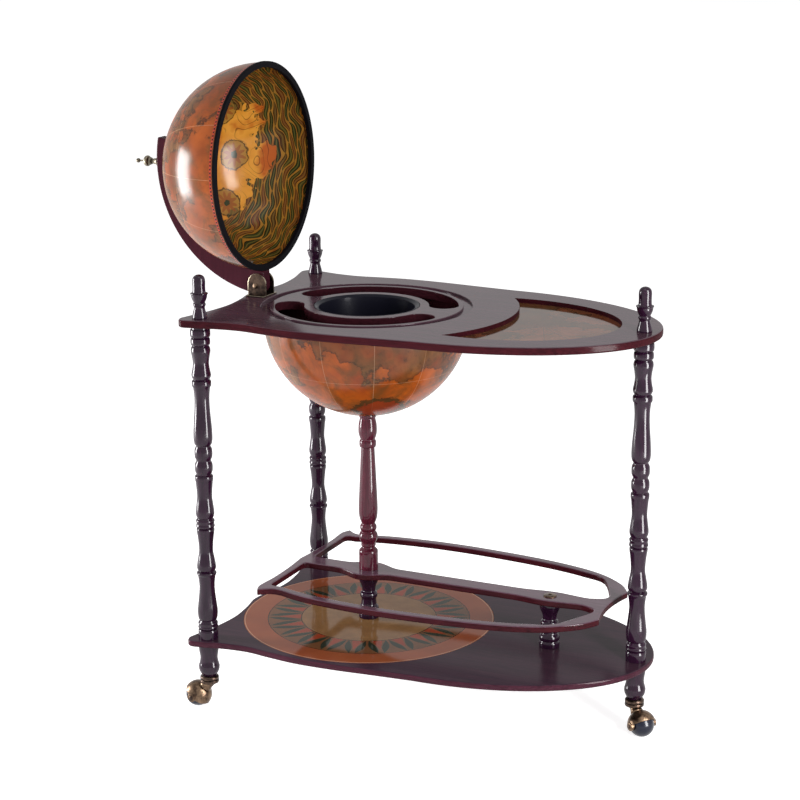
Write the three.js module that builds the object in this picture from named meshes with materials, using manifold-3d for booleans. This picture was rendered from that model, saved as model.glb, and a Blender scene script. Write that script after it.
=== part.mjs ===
// A floor globe bar: a teardrop table on three turned legs with casters, a globe whose lid swings
// open on a wooden meridian arm, a tray and ice bucket in its bowl, a bottle rail and a lower shelf.
// Millimetres, +Z up, the floor at z = 0. X runs along the table, with the hinge at the -X end.
import * as THREE from "three";
import { mergeVertices } from "three/addons/utils/BufferGeometryUtils.js";
import Module from "manifold-3d";

const wasm = await Module();
wasm.setup();

// Clearances
const seat = 0.3; // between two pieces that rest on each other
const boreFit = 0.35; // round a screw or pin in its hole
const liftFit = 0.7; // round the tray and the bucket in their holes
const swingFit = 0.6; // beside and below the arm where it swings
const overrun = 6; // how far a cutting shape passes the face that it cuts
const mergeTolerance = 0.001;

// Heights, from the floor up
const ballRadius = 20;
const hoodGap = 0.8; // between the ball and its hood
const hoodWall = 1.8;
const hoodTopGap = 0.4; // between the hood's dome and the socket
const socketHeight = 13;
const casterHeight = 2 * ballRadius + hoodGap + hoodWall + hoodTopGap + socketHeight;
const footHeight = 53;
const shelfThickness = 10;
const legLength = 513;
const tableThickness = 12;
const postHeight = 74;
const railThickness = 10;
const shelfBottom = casterHeight + footHeight;
const shelfTop = shelfBottom + shelfThickness;
const tableBottom = shelfTop + legLength;
const tableTop = tableBottom + tableThickness;
const railBottom = shelfTop + postHeight;
const railTop = railBottom + railThickness;

// The globe, which the table and all that it carries are laid out round
const globeRadius = 165;

// The table and shelf outline, the same for both boards
const earMargin = 58; // globe to the ears' ends
const sideMargin = 53; // globe to the widest place of the sides
const roundEndNarrowing = 15; // how much nearer the round end's side is than the ears'
const roundEndGap = 5; // globe to where the round end begins
const roundEndLength = 315;
const roundEndStart = globeRadius + roundEndGap;
const earReach = globeRadius + earMargin;
const earHalfWidth = globeRadius + sideMargin;
const roundEndHalfWidth = earHalfWidth - roundEndNarrowing;
const earOutlineShares = [
  [-0.962, 0],
  [-0.928, -0.2],
  [-0.908, -0.42],
  [-0.935, -0.66],
  [-0.985, -0.86],
  [-0.998, -0.94],
  [-0.955, -1],
  [-0.86, -0.99],
  [-0.7, -0.952],
  [-0.52, -0.938],
  [-0.34, -0.965],
  [-0.12, -0.99],
  [0.16, -0.985],
  [0.46, -0.958],
];
const earSteps = 24;
const roundEndSteps = 10;

// Places, from the globe axis
const leftLegInset = 31; // from the ears' ends
const leftLegSideInset = 23.5; // from the widest place of the sides
const rightLegInset = 23; // from the round end
const railPostInset = 144; // from the right leg
const leftLegX = leftLegInset - earReach;
const leftLegY = earHalfWidth - leftLegSideInset;
const rightLegX = roundEndStart + roundEndLength - rightLegInset;
const railPostX = rightLegX - railPostInset;
const stations = [
  { name: "left_front", x: leftLegX, y: -leftLegY, trail: 180 },
  { name: "left_back", x: leftLegX, y: leftLegY, trail: 190 },
  { name: "right", x: rightLegX, y: 0, trail: -38 },
];

// The globe's parts
const globeWall = 4;
const poleFlat = 12; // radius of the flat at each half's pole, where its fastener seats
const globeSegments = 24;
const globeRings = 5;
const rebateGap = 2.8; // round the closed lid's rim
const rebateDepth = 4;
const ledgeWidth = 17.3;
const bowlLip = 4; // how far the bowl's rim enters the table from below
const rebateRadius = globeRadius + rebateGap;
const tableHoleRadius = rebateRadius - ledgeWidth;
const ledgeTop = tableTop - rebateDepth;
const globeInside = globeRadius - globeWall;
const poleHeight = Math.sqrt(globeRadius ** 2 - poleFlat ** 2);
const poleHeightInside = Math.sqrt(globeInside ** 2 - poleFlat ** 2);

// The lid's rim band, hinge and opening
const rimBandHeight = 10;
const rimBandThickness = 2.4;
const rimBandGap = 1.9; // between the band's skirt and the shell that curves in over it
const rimEdgeThickness = 1.4;
const rimSkirtHeight = 6.5; // of the band's outer edge, up the outside of the shell
const rimSkirtThickness = 1.2;
const pinMargin = 28; // globe to the pin
const pinX = -globeRadius - pinMargin;
const pinHeight = 16.5; // above the table
const pinRadius = 3;
const pinHeadRadius = 4.4;
const pinHeadThickness = 1.3;
const lidOpenDegrees = 91;
const lidCentreZ = ledgeTop + seat;
const pinZ = tableTop + pinHeight;

// The meridian arm
const armWidth = 22;
const armInnerGap = 3.5; // between the globe and the arm
const armDepthAtPole = 29.5;
const armPastPoleDegrees = 12;
const armSteps = 16;
const armInnerRadius = globeRadius + armInnerGap;
const armPoleRadius = armInnerRadius + armDepthAtPole;

// The hinge bracket
const bracketPlate = 2;
const earThickness = 2.5;
const earWidth = 33.5;
const earCentreOffset = 2.5; // the ears' centre, past the pin towards the globe
const earArchHeight = 20.5; // centre of the ears' round tops above the table
const bracketFlange = 8.5; // how far the plate reaches out beyond the ears
const bracketScrewRadius = 1.8;
const bracketScrewHead = 3.1;
const bracketScrewHeadDepth = 1.4;
const bracketScrewLength = 9;

// Screws between the lid and the arm
const armScrewAngles = [77, 38]; // degrees from the pole
const armScrewRadius = 2.2;
const armScrewHead = 5;
const armScrewHeadDepth = 2.4;
const armScrewLength = 24;
const spacerRadius = 6.5;
const spacerFit = 0.75; // between a spacer's flat end and the arm's curved edge

// The pole finial
const spindleRadius = 3;
const spindleNutRadius = 7;
const spindleNutDepth = 4;
const flangeRadius = 8.5;
const flangeLength = 11;
const flangeShares = [
  [0, 1],
  [0.25, 1],
  [0.62, 0.62],
  [1, 0.56],
];
const knobRadius = 9;
const knobLength = 13;
const knobShares = [
  [0, 0.67],
  [0.25, 0.74],
  [0.33, 0.59],
  [0.5, 1],
  [0.77, 1],
  [1, 0.71],
];
const knobNeck = 4; // between the flange and the knob
const tipRodRadius = 1.4;
const tipRodLength = 9;
const tipRadius = 3.8;

// The tray and the ice bucket
const trayThickness = 14;
const trayLip = 3.1; // how far the tray's lip reaches over the ledge
const traySlotWall = 4;
const trayBand = 66; // globe to the slots' inner edge
const slotBridgeDegrees = 22;
const bucketMargin = 15; // between the slots and the bucket's rim
const bucketRimWidth = 6;
const bucketRimThickness = 2.5;
const bucketTaper = 15;
const bucketHeadroom = 49; // how much less deep the bucket is than the globe
const bucketWall = 2;
const slotInnerRadius = globeRadius - trayBand;
const bucketRimRadius = slotInnerRadius - bucketMargin;
const bucketTopRadius = bucketRimRadius - bucketRimWidth;
const bucketBottomRadius = bucketTopRadius - bucketTaper;
const bucketDepth = globeRadius - bucketHeadroom;

// The printed panel in the table's narrow end
const recessMargin = 77; // globe to the opening's inner arc
const recessDepth = 7;
const recessShift = 57; // the opening's centre, past where the round end begins
const recessEndInset = 64.5; // from the table's round end
const recessSideInset = 56; // from the side of the round end
const recessInnerRadius = globeRadius + recessMargin;
const recessCentreX = roundEndStart + recessShift;
const recessLength = roundEndLength - recessShift - recessEndInset;
const recessHalfWidth = roundEndHalfWidth - recessSideInset;
const panelOverlap = 6; // how far the panel reaches under the table round its opening
const panelEdgeGap = 0.4;

// The map disc in the shelf
const mapDiscMargin = 12; // between the disc and the widest place of the sides
const mapDiscRadius = earHalfWidth - mapDiscMargin;
const mapDiscRecess = 1.2;

// The bottle rail
const railLeftInset = 99; // from the ears' ends
const railRightOverhang = 106; // past the right post
const railSideInset = 43; // from the widest place of the sides
const railLeft = railLeftInset - earReach;
const railRight = railPostX + railRightOverhang;
const railHalfWidth = earHalfWidth - railSideInset;
const railBand = 15;
const railSpineHalfWidth = 17;
const railEndHollow = 9;
const railColumnBoss = 34; // half the spine's width at the column
const railPostBoss = 23; // and at the right post
const railColumnSwell = 50; // how far along the spine each swelling runs out
const railPostSwell = 60;
const railEdgeShares = [
  [-0.94, -0.955],
  [-0.74, -0.87],
  [-0.32, -0.945],
  [0.07, -0.99],
  [0.22, -1],
  [0.36, -0.985],
  [0.52, -0.95],
  [0.655, -0.9],
  [0.775, -0.825],
  [0.87, -0.72],
  [0.955, -0.555],
  [1, -0.385],
];
const railLeftEdgeShares = [
  [-1.02, 0],
  [-0.985, -0.3],
  [-0.98, -0.6],
  [-1, -0.84],
];
const railSteps = 16;
const railSpineSteps = 26;
const openingEndShare = 0.945; // the pointed end of an opening, of the rail's reach
const openingEndWidthShare = 0.27;
const openingCorner = 8;
const openingCornerSteps = 3;

// Screws
const dowelRadius = 4;
const dowelInFinial = 22;
const dowelInLeg = 28;
const dowelInFoot = 20;
const screwRadius = 3;
const screwHeadRadius = 6;
const screwHeadDepth = 3;
const screwInPost = 26;
const railBoltHead = 10.5;
const railBoltHeadDepth = 2.6;
const railBoltSocket = 3.2;
const railBoltSocketDepth = 1.6;
const washerRadius = 11;
const washerThickness = 1.6;

// Turned work: each table holds [height share, radius share] from the bottom up
const turnedSegments = 8;
const screwSegments = 8;
const legSegments = 10;
const legRadius = 16.2;
const legShares = [
  [0, 0.97],
  [0.029, 0.97],
  [0.031, 0.84],
  [0.038, 0.98],
  [0.054, 0.97],
  [0.061, 0.8],
  [0.07, 0.94],
  [0.093, 1],
  [0.12, 0.9],
  [0.169, 0.755],
  [0.205, 0.86],
  [0.212, 0.96],
  [0.22, 0.94],
  [0.223, 0.77],
  [0.239, 0.945],
  [0.29, 0.69],
  [0.357, 0.89],
  [0.362, 0.78],
  [0.369, 0.93],
  [0.387, 0.92],
  [0.394, 0.77],
  [0.413, 0.925],
  [0.466, 0.74],
  [0.517, 0.885],
  [0.53, 0.885],
  [0.534, 0.73],
  [0.546, 0.86],
  [0.568, 0.86],
  [0.579, 0.715],
  [0.591, 0.86],
  [0.614, 0.86],
  [0.626, 0.715],
  [0.636, 0.87],
  [0.653, 0.93],
  [0.735, 0.765],
  [0.778, 0.73],
  [0.816, 0.93],
  [0.83, 0.93],
  [0.834, 0.78],
  [0.85, 0.95],
  [0.885, 0.78],
  [0.924, 0.95],
  [0.941, 0.77],
  [0.946, 0.93],
  [0.961, 0.93],
  [0.966, 0.79],
  [0.971, 0.965],
  [0.989, 0.965],
  [1, 0.82],
];
const finialHeight = 69; // above the table, to the finial's top
const finialRadius = 13.6;
const finialShares = [
  [0, 1],
  [0.06, 1],
  [0.21, 0.76],
  [0.24, 0.93],
  [0.33, 0.93],
  [0.37, 0.76],
  [0.42, 0.93],
  [0.5, 0.9],
  [0.56, 0.72],
  [0.6, 0.84],
  [0.64, 0.76],
  [0.88, 0.74],
  [0.96, 0.58],
  [1, 0.2],
];
const footRadius = 16.8;
const footShares = [
  [0, 0.66],
  [0.09, 0.84],
  [0.26, 1],
  [0.36, 0.97],
  [0.52, 0.88],
  [0.66, 0.95],
  [0.7, 0.98],
  [1, 0.98],
];
const postRadius = 16.3;
const postShares = [
  [0, 1],
  [0.1, 1],
  [0.15, 0.9],
  [0.19, 1],
  [0.26, 0.97],
  [0.31, 0.78],
  [0.45, 0.74],
  [0.49, 0.86],
  [0.58, 0.84],
  [0.62, 0.67],
  [0.72, 0.7],
  [0.85, 0.92],
  [0.93, 1],
  [1, 1],
];
const columnRadius = 15.8;
const columnShares = [
  [0, 0.98],
  [0.115, 0.98],
  [0.13, 0.88],
  [0.145, 0.66],
  [0.15, 0.76],
  [0.175, 0.74],
  [0.19, 0.9],
  [0.21, 0.98],
  [0.235, 0.9],
  [0.245, 0.74],
  [0.262, 0.86],
  [0.28, 0.84],
  [0.295, 0.7],
  [0.33, 0.9],
  [0.37, 0.98],
  [0.43, 0.97],
  [0.77, 0.7],
  [0.785, 0.7],
  [0.79, 0.84],
  [0.825, 0.84],
  [0.835, 0.76],
  [0.88, 0.95],
  [0.93, 0.92],
  [0.972, 0.78],
  [0.98, 0.86],
  [1, 0.86],
];

// Casters
const ballHalfWidth = 16.2;
const ballTread = 3;
const ballSegments = 16;
const ballBore = 2.6;
const hoodTiltDegrees = 38;
const hoodBossRadius = 7;
const hoodBossProud = 0.8;
const casterTrail = 22;
const axleRadius = 2.1;
const axleHeadRadius = 3.8;
const axleHeadThickness = 1.2;
const neckTopRadius = 8;
const neckBottomRadius = 12;
const stemRadius = 4;
const stemLength = 15; // above the foot's end
const socketRadius = 15.2;
const socketWall = 1.8;
const socketSleeve = 19;
const sleeveFit = 0.7; // round the sleeve in the foot
const sleeveRadius = stemRadius + socketWall;
const socketShares = [
  [0, 0.84],
  [0.12, 1],
  [0.4, 1],
  [0.5, 0.9],
  [0.6, 1],
  [0.82, 1],
  [1, 0.84],
];

// Finishes
const finish = (color, roughness, metalness = 0) =>
  new THREE.MeshStandardMaterial({ color, roughness, metalness });
const mahogany = finish(0x3a161c, 0.25);
const redMahogany = finish(0x5a1f28, 0.25);
const mapPrint = finish(0xb5622c, 0.35);
const globePrint = finish(0xb2452a, 0.25);
const rimBlack = finish(0x1c1a18, 0.4);
const brass = finish(0x8a7448, 0.35, 1);
const steel = finish(0x8d8d8a, 0.4, 1);
const bucketBlack = finish(0x1a1b1f, 0.3);
const ballBlack = finish(0x1d1f2b, 0.3);

const radians = (degrees) => THREE.MathUtils.degToRad(degrees);

// A closed manifold solid from a three.js geometry.
function solid(geometry) {
  const bare = geometry.clone();
  bare.deleteAttribute("normal");
  bare.deleteAttribute("uv");
  const merged = mergeVertices(bare, mergeTolerance);
  const corners = merged.index.array;
  const kept = [];
  for (let i = 0; i < corners.length; i += 3) {
    const [a, b, c] = corners.subarray(i, i + 3);
    if (a !== b && b !== c && c !== a) kept.push(a, b, c);
  }
  return new wasm.Manifold(
    new wasm.Mesh({
      numProp: 3,
      vertProperties: merged.attributes.position.array,
      triVerts: new Uint32Array(kept),
    }),
  );
}

// A three.js geometry from a manifold solid.
function geometryOf(shape) {
  const mesh = shape.getMesh();
  const geometry = new THREE.BufferGeometry();
  geometry.setAttribute("position", new THREE.BufferAttribute(mesh.vertProperties, 3));
  geometry.setIndex(new THREE.BufferAttribute(mesh.triVerts, 1));
  geometry.computeVertexNormals();
  return geometry;
}

// A body turned round Z from [radius, height] points that start and end on the axis or close up.
function turned(points, segments = turnedSegments) {
  const profile = points.map(([radius, height]) => new THREE.Vector2(radius, height));
  return new THREE.LatheGeometry(profile, segments).rotateX(Math.PI / 2);
}

// Turned work between two heights, from a table of shares.
function turnedFromShares(shares, radius, bottom, top, segments) {
  const rows = shares.map(([height, share]) => [share * radius, bottom + height * (top - bottom)]);
  return turned([[0, bottom], ...rows, [0, top]], segments);
}

// Turned work with a bore right through it.
function boredFromShares(shares, radius, bore, bottom, top) {
  const rows = shares.map(([height, share]) => [share * radius, bottom + height * (top - bottom)]);
  return turned([[bore, bottom], ...rows, [bore, top], [bore, bottom]]);
}

// A screw, pin or washer, turned with the few facets that its hole has.
function fastener(points) {
  return turned(points, screwSegments);
}

// An upright round rod.
function rod(radius, bottom, top, segments = screwSegments) {
  return turned([[0, bottom], [radius, bottom], [radius, top], [0, top]], segments);
}

// A box between two corners.
function block([x0, y0, z0], [x1, y1, z1]) {
  const box = new THREE.BoxGeometry(x1 - x0, y1 - y0, z1 - z0);
  return box.translate((x0 + x1) / 2, (y0 + y1) / 2, (z0 + z1) / 2);
}

// A flat board of one outline between two heights.
function board(outline, bottom, top) {
  const plate = new THREE.ExtrudeGeometry(new THREE.Shape(outline), {
    depth: top - bottom,
    bevelEnabled: false,
  });
  return plate.translate(0, 0, bottom);
}

// An outline whose front half is given from left to right, mirrored to the back.
function mirrored(half) {
  const back = half
    .filter((point) => Math.abs(point.y) > mergeTolerance)
    .reverse()
    .map((point) => new THREE.Vector2(point.x, -point.y));
  return [...half, ...back];
}

const part = new THREE.Group();
const assembly = new THREE.Group();
part.add(assembly);

// Adds one named piece, in its own coordinates, to a group.
function add(name, shape, material, group = assembly) {
  const geometry = shape.isBufferGeometry ? geometryOf(solid(shape)) : geometryOf(shape);
  const mesh = new THREE.Mesh(geometry, material);
  mesh.name = name;
  group.add(mesh);
  return mesh;
}

// The outline that the table and the shelf share.
function teardrop() {
  const ears = new THREE.SplineCurve([
    ...earOutlineShares.map(([x, y]) => new THREE.Vector2(x * earReach, y * earHalfWidth)),
    new THREE.Vector2(roundEndStart, -roundEndHalfWidth),
  ]);
  const roundEnd = new THREE.EllipseCurve(
    roundEndStart, 0, roundEndLength, roundEndHalfWidth, -Math.PI / 2, 0,
  );
  return mirrored([
    ...ears.getPoints(earSteps),
    ...roundEnd.getPoints(roundEndSteps).slice(1),
  ]);
}

// The crescent beside the globe: an arc round the globe and half an ellipse, grown by a margin.
function crescent(margin) {
  const inner = recessInnerRadius - margin;
  const a = recessLength + margin;
  const b = recessHalfWidth + margin;
  // Where the inner arc meets the ellipse, from the quadratic in x.
  const p = 1 / a ** 2 - 1 / b ** 2;
  const q = (-2 * recessCentreX) / a ** 2;
  const r = recessCentreX ** 2 / a ** 2 + inner ** 2 / b ** 2 - 1;
  const cornerX = (-q - Math.sqrt(q ** 2 - 4 * p * r)) / (2 * p);
  const cornerY = Math.sqrt(inner ** 2 - cornerX ** 2);
  const arcEnd = Math.atan2(cornerY, cornerX);
  const ellipseEnd = Math.atan2(cornerY / b, (cornerX - recessCentreX) / a);
  const outerCurve = new THREE.EllipseCurve(recessCentreX, 0, a, b, -ellipseEnd, ellipseEnd);
  const innerCurve = new THREE.EllipseCurve(0, 0, inner, inner, arcEnd, -arcEnd, true);
  return [
    ...outerCurve.getPoints(2 * roundEndSteps),
    ...innerCurve.getPoints(roundEndSteps).slice(1, -1),
  ];
}

// The table: its hole and rebate take the globe, its groove the bowl, its recess the panel.
function makeTable() {
  const panelTop = tableTop - recessDepth;
  const bowlGroove = solid(
    turned([
      [globeInside - boreFit, tableBottom - overrun],
      [globeRadius + boreFit, tableBottom - overrun],
      [globeRadius + boreFit, tableBottom + bowlLip],
      [globeInside - boreFit, tableBottom + bowlLip],
      [globeInside - boreFit, tableBottom - overrun],
    ], globeSegments),
  );
  let table = solid(board(teardrop(), tableBottom, tableTop))
    .subtract(solid(rod(tableHoleRadius, tableBottom - overrun, tableTop + overrun, globeSegments)))
    .subtract(solid(rod(rebateRadius, ledgeTop, tableTop + overrun, globeSegments)))
    .subtract(bowlGroove)
    .subtract(solid(board(crescent(0), tableBottom - overrun, tableTop + overrun)))
    .subtract(solid(board(crescent(panelOverlap), tableBottom - overrun, panelTop)));
  for (const { x, y } of stations) {
    const hole = rod(dowelRadius + boreFit, tableBottom - overrun, tableTop + overrun);
    table = table.subtract(solid(hole.translate(x, y, 0)));
  }
  for (const y of bracketScrewPlaces()) {
    const hole = rod(
      bracketScrewRadius + boreFit, bracketTop() - bracketScrewLength - boreFit, tableTop + overrun,
    );
    table = table.subtract(solid(hole.translate(pinX + earCentreOffset, y, 0)));
  }
  add("table_top", table, mahogany);
  const panel = board(crescent(panelOverlap - panelEdgeGap), tableBottom, panelTop - seat);
  add("table_map_panel", panel, mapPrint);
}

// The shelf with its recess for the map disc, and the disc.
function makeShelf() {
  let shelf = solid(board(teardrop(), shelfBottom, shelfTop)).subtract(
    solid(rod(mapDiscRadius + seat, shelfTop - mapDiscRecess, shelfTop + overrun, globeSegments)),
  );
  for (const { x, y } of stations) {
    const hole = rod(dowelRadius + boreFit, shelfBottom - overrun, shelfTop + overrun);
    shelf = shelf.subtract(solid(hole.translate(x, y, 0)));
  }
  for (const x of [0, railPostX]) {
    const hole = rod(screwRadius + boreFit, shelfBottom - overrun, shelfTop + overrun);
    const headTop = shelfBottom + screwHeadDepth + seat;
    const headHole = rod(screwHeadRadius + boreFit, shelfBottom - overrun, headTop);
    shelf = shelf
      .subtract(solid(hole.translate(x, 0, 0)))
      .subtract(solid(headHole.translate(x, 0, 0)));
  }
  add("lower_shelf", shelf, mahogany);
  const disc = solid(rod(mapDiscRadius, shelfTop - mapDiscRecess + seat, shelfTop, globeSegments));
  const screwHole = rod(screwRadius + boreFit, shelfBottom, shelfTop + overrun);
  add("shelf_map_disc", disc.subtract(solid(screwHole)), mapPrint);
}

// Half the width of the rail's spine, which swells gently at the column and at the right post.
function spineHalfWidth(x) {
  const swelling = (boss, centre, reach) => {
    const turn = Math.PI * Math.min(1, Math.abs(x - centre) / reach);
    return ((boss - railSpineHalfWidth) * (1 + Math.cos(turn))) / 2;
  };
  const atColumn = swelling(railColumnBoss, 0, railColumnSwell);
  const atPost = swelling(railPostBoss, railPostX, railPostSwell);
  return railSpineHalfWidth + atColumn + atPost;
}

// One opening of the bottle rail: its outer side follows the rail's edge, one band inside it.
function railOpening() {
  const reach = (share) => (share < 0 ? -share * railLeft : share * railRight);
  const edge = railEdgeShares
    .filter(([x]) => x > railEdgeShares[0][0] && x < openingEndShare)
    .map(([x, y]) => new THREE.Vector2(reach(x), y * railHalfWidth + railBand));
  const tip = new THREE.Vector2(openingEndShare * railRight, -openingEndWidthShare * railHalfWidth);
  const left = railLeft + railBand;
  const outer = edge[0].y;
  const inner = -railSpineHalfWidth;
  const outerCorner = new THREE.QuadraticBezierCurve(
    new THREE.Vector2(left, outer + openingCorner),
    new THREE.Vector2(left, outer),
    new THREE.Vector2(left + openingCorner, outer),
  );
  const innerCorner = new THREE.QuadraticBezierCurve(
    new THREE.Vector2(left + openingCorner, inner),
    new THREE.Vector2(left, inner),
    new THREE.Vector2(left, inner - openingCorner),
  );
  const curve = new THREE.SplineCurve([...edge, tip]);
  const spineEnd = railPostX + railPostSwell;
  const spineStep = (spineEnd - left - openingCorner) / railSpineSteps;
  const spine = Array.from({ length: railSpineSteps }, (unused, index) => {
    const x = spineEnd - index * spineStep;
    return new THREE.Vector2(x, -spineHalfWidth(x));
  });
  return [
    ...outerCorner.getPoints(openingCornerSteps),
    ...curve.getPoints(railSteps),
    ...spine,
    ...innerCorner.getPoints(openingCornerSteps),
  ];
}

// The bottle rail: a band round two openings, with a spine along the middle.
function makeRail() {
  const reach = (share) => (share < 0 ? -share * railLeft : share * railRight);
  const place = ([x, y]) => new THREE.Vector2(reach(x), y * railHalfWidth);
  const leftEdge = new THREE.SplineCurve([...railLeftEdgeShares, railEdgeShares[0]].map(place));
  const frontEdge = new THREE.SplineCurve(railEdgeShares.map(place));
  const corner = place(railEdgeShares.at(-1));
  const hollow = new THREE.QuadraticBezierCurve(
    corner,
    new THREE.Vector2(corner.x - railEndHollow, corner.y / 2),
    new THREE.Vector2(corner.x - railEndHollow, 0),
  );
  const half = [
    ...leftEdge.getPoints(railLeftEdgeShares.length * 2),
    ...frontEdge.getPoints(railSteps).slice(1),
    ...hollow.getPoints(railLeftEdgeShares.length).slice(1),
  ];
  const frontOpening = solid(board(railOpening(), railBottom - overrun, railTop + overrun));
  const backOpening = frontOpening.mirror([0, 1, 0]);
  let rail = solid(board(mirrored(half), railBottom, railTop))
    .subtract(frontOpening)
    .subtract(backOpening);
  const columnHole = rod(dowelRadius + boreFit, railBottom - overrun, railTop + overrun);
  const boltHole = rod(screwRadius + boreFit, railBottom - overrun, railTop + overrun);
  rail = rail.subtract(solid(columnHole)).subtract(solid(boltHole.translate(railPostX, 0, 0)));
  add("bottle_rail", rail, mahogany);
}

// A leg with its foot below the shelf and its finial above the table, and the dowel screws in them.
function makeLeg({ name, x, y }) {
  const station = new THREE.Group();
  station.position.set(x, y, 0);
  assembly.add(station);
  const upperDowelTop = tableTop + dowelInFinial;
  const upperDowelBottom = tableBottom - dowelInLeg;
  const lowerDowelTop = shelfTop + dowelInLeg;
  const lowerDowelBottom = shelfBottom - dowelInFoot;
  const upperBore = solid(rod(dowelRadius + boreFit, upperDowelBottom - seat, upperDowelTop + seat));
  const lowerBore = solid(rod(dowelRadius + boreFit, lowerDowelBottom - seat, lowerDowelTop + seat));
  const socketBore = solid(
    rod(sleeveRadius + sleeveFit, casterHeight - overrun, casterHeight + socketSleeve + seat),
  );
  const leg = turnedFromShares(
    legShares, legRadius, shelfTop + seat, tableBottom - seat, legSegments,
  );
  add(`leg_${name}`, solid(leg).subtract(upperBore).subtract(lowerBore), mahogany, station);
  const finial = turnedFromShares(
    finialShares, finialRadius, tableTop + seat, tableTop + finialHeight,
  );
  add(`finial_${name}`, solid(finial).subtract(upperBore), mahogany, station);
  const foot = turnedFromShares(footShares, footRadius, casterHeight, shelfBottom - seat);
  add(`foot_${name}`, solid(foot).subtract(lowerBore).subtract(socketBore), mahogany, station);
  add(`dowel_screw_upper_${name}`, rod(dowelRadius, upperDowelBottom, upperDowelTop), steel, station);
  add(`dowel_screw_lower_${name}`, rod(dowelRadius, lowerDowelBottom, lowerDowelTop), steel, station);
}

// The column under the globe and the two rail posts, with what screws them together.
function makeColumn() {
  const bowlBottom = tableBottom - poleHeight;
  const columnTop = bowlBottom - seat;
  const screwTip = bowlBottom - screwInPost;
  const dowelBottom = railBottom - screwInPost;
  const dowelTop = railTop + screwInPost;
  const dowelBore = solid(rod(dowelRadius + boreFit, dowelBottom - seat, dowelTop + seat));
  const bowlScrewBore = solid(rod(screwRadius + boreFit, screwTip - seat, columnTop + overrun));
  const column = turnedFromShares(
    columnShares, columnRadius, railTop + seat, columnTop, legSegments,
  );
  add("globe_column", solid(column).subtract(dowelBore).subtract(bowlScrewBore), redMahogany);
  add("column_dowel_screw", rod(dowelRadius, dowelBottom, dowelTop), steel);

  const shelfScrewTip = shelfTop + screwInPost;
  const shelfScrewBore = solid(
    rod(screwRadius + boreFit, shelfTop - overrun, shelfScrewTip + seat),
  );
  const boltTip = railBottom - screwInPost;
  const boltBore = solid(rod(screwRadius + boreFit, boltTip - seat, railTop + overrun));
  const postBores = { centre: dowelBore, right: boltBore };
  for (const [name, x] of [["centre", 0], ["right", railPostX]]) {
    const station = new THREE.Group();
    station.position.set(x, 0, 0);
    assembly.add(station);
    const post = turnedFromShares(postShares, postRadius, shelfTop + seat, railBottom - seat);
    const bored = solid(post).subtract(shelfScrewBore).subtract(postBores[name]);
    add(`rail_post_${name}`, bored, mahogany, station);
    const shelfScrew = fastener([
      [0, shelfBottom],
      [screwHeadRadius, shelfBottom],
      [screwHeadRadius, shelfBottom + screwHeadDepth],
      [screwRadius, shelfBottom + screwHeadDepth],
      [screwRadius, shelfScrewTip],
      [0, shelfScrewTip],
    ]);
    add(`shelf_screw_${name}`, shelfScrew, steel, station);
  }

  const boltHeadBottom = railTop + seat;
  const boltHeadTop = boltHeadBottom + railBoltHeadDepth;
  const bolt = solid(
    fastener([
      [0, boltTip],
      [screwRadius, boltTip],
      [screwRadius, boltHeadBottom],
      [railBoltHead, boltHeadBottom],
      [railBoltHead, boltHeadBottom + railBoltHeadDepth / 2],
      [railBoltHead / 2, boltHeadTop],
      [0, boltHeadTop],
    ]),
  );
  const socketSides = 6;
  const socketBottom = boltHeadTop - railBoltSocketDepth;
  const socket = rod(railBoltSocket, socketBottom, boltHeadTop + overrun, socketSides);
  const boltMesh = add("rail_bolt", bolt.subtract(solid(socket)), brass);
  boltMesh.position.set(railPostX, 0, 0);
}

// Half a globe, pole up, from its rim at z = 0, with a hole at the pole and a straight lip below.
// Extra rings of corners lie at the given angles from the pole, where something is screwed on.
function halfGlobe(poleHole, lip, extraAngles = []) {
  const rings = (radius) => {
    const flatAngle = Math.asin(poleFlat / radius);
    const even = Array.from(
      { length: globeRings + 1 },
      (_, i) => Math.PI / 2 + ((flatAngle - Math.PI / 2) * i) / globeRings,
    );
    return [...even, ...extraAngles]
      .sort((a, b) => b - a)
      .map((angle) => [radius * Math.sin(angle), radius * Math.cos(angle)]);
  };
  const lipRows = lip > 0 ? [[globeInside, -lip], [globeRadius, -lip]] : [];
  const rows = [
    ...lipRows,
    ...rings(globeRadius),
    [poleHole, poleHeight],
    [poleHole, poleHeightInside],
    ...rings(globeInside).reverse(),
  ];
  return turned([...rows, rows[0]], globeSegments);
}

// The bowl under the table, held to the column by a screw with a washer.
function makeBowl() {
  const screwHole = screwRadius + boreFit;
  const bowl = halfGlobe(screwHole, bowlLip - seat).rotateX(Math.PI).translate(0, 0, tableBottom);
  add("globe_bowl", bowl, globePrint);
  const washerBottom = tableBottom - poleHeightInside + seat;
  const washerTop = washerBottom + washerThickness;
  const washer = fastener([
    [screwHole, washerBottom],
    [washerRadius, washerBottom],
    [washerRadius, washerTop],
    [screwHole, washerTop],
    [screwHole, washerBottom],
  ]);
  add("bowl_washer", washer, steel);
  const headBottom = washerTop + seat;
  const screwTip = tableBottom - poleHeight - screwInPost;
  const screw = fastener([
    [0, screwTip],
    [screwRadius, screwTip],
    [screwRadius, headBottom],
    [screwHeadRadius, headBottom],
    [screwHeadRadius, headBottom + screwHeadDepth],
    [0, headBottom + screwHeadDepth],
  ]);
  add("bowl_screw", screw, steel);
}

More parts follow.
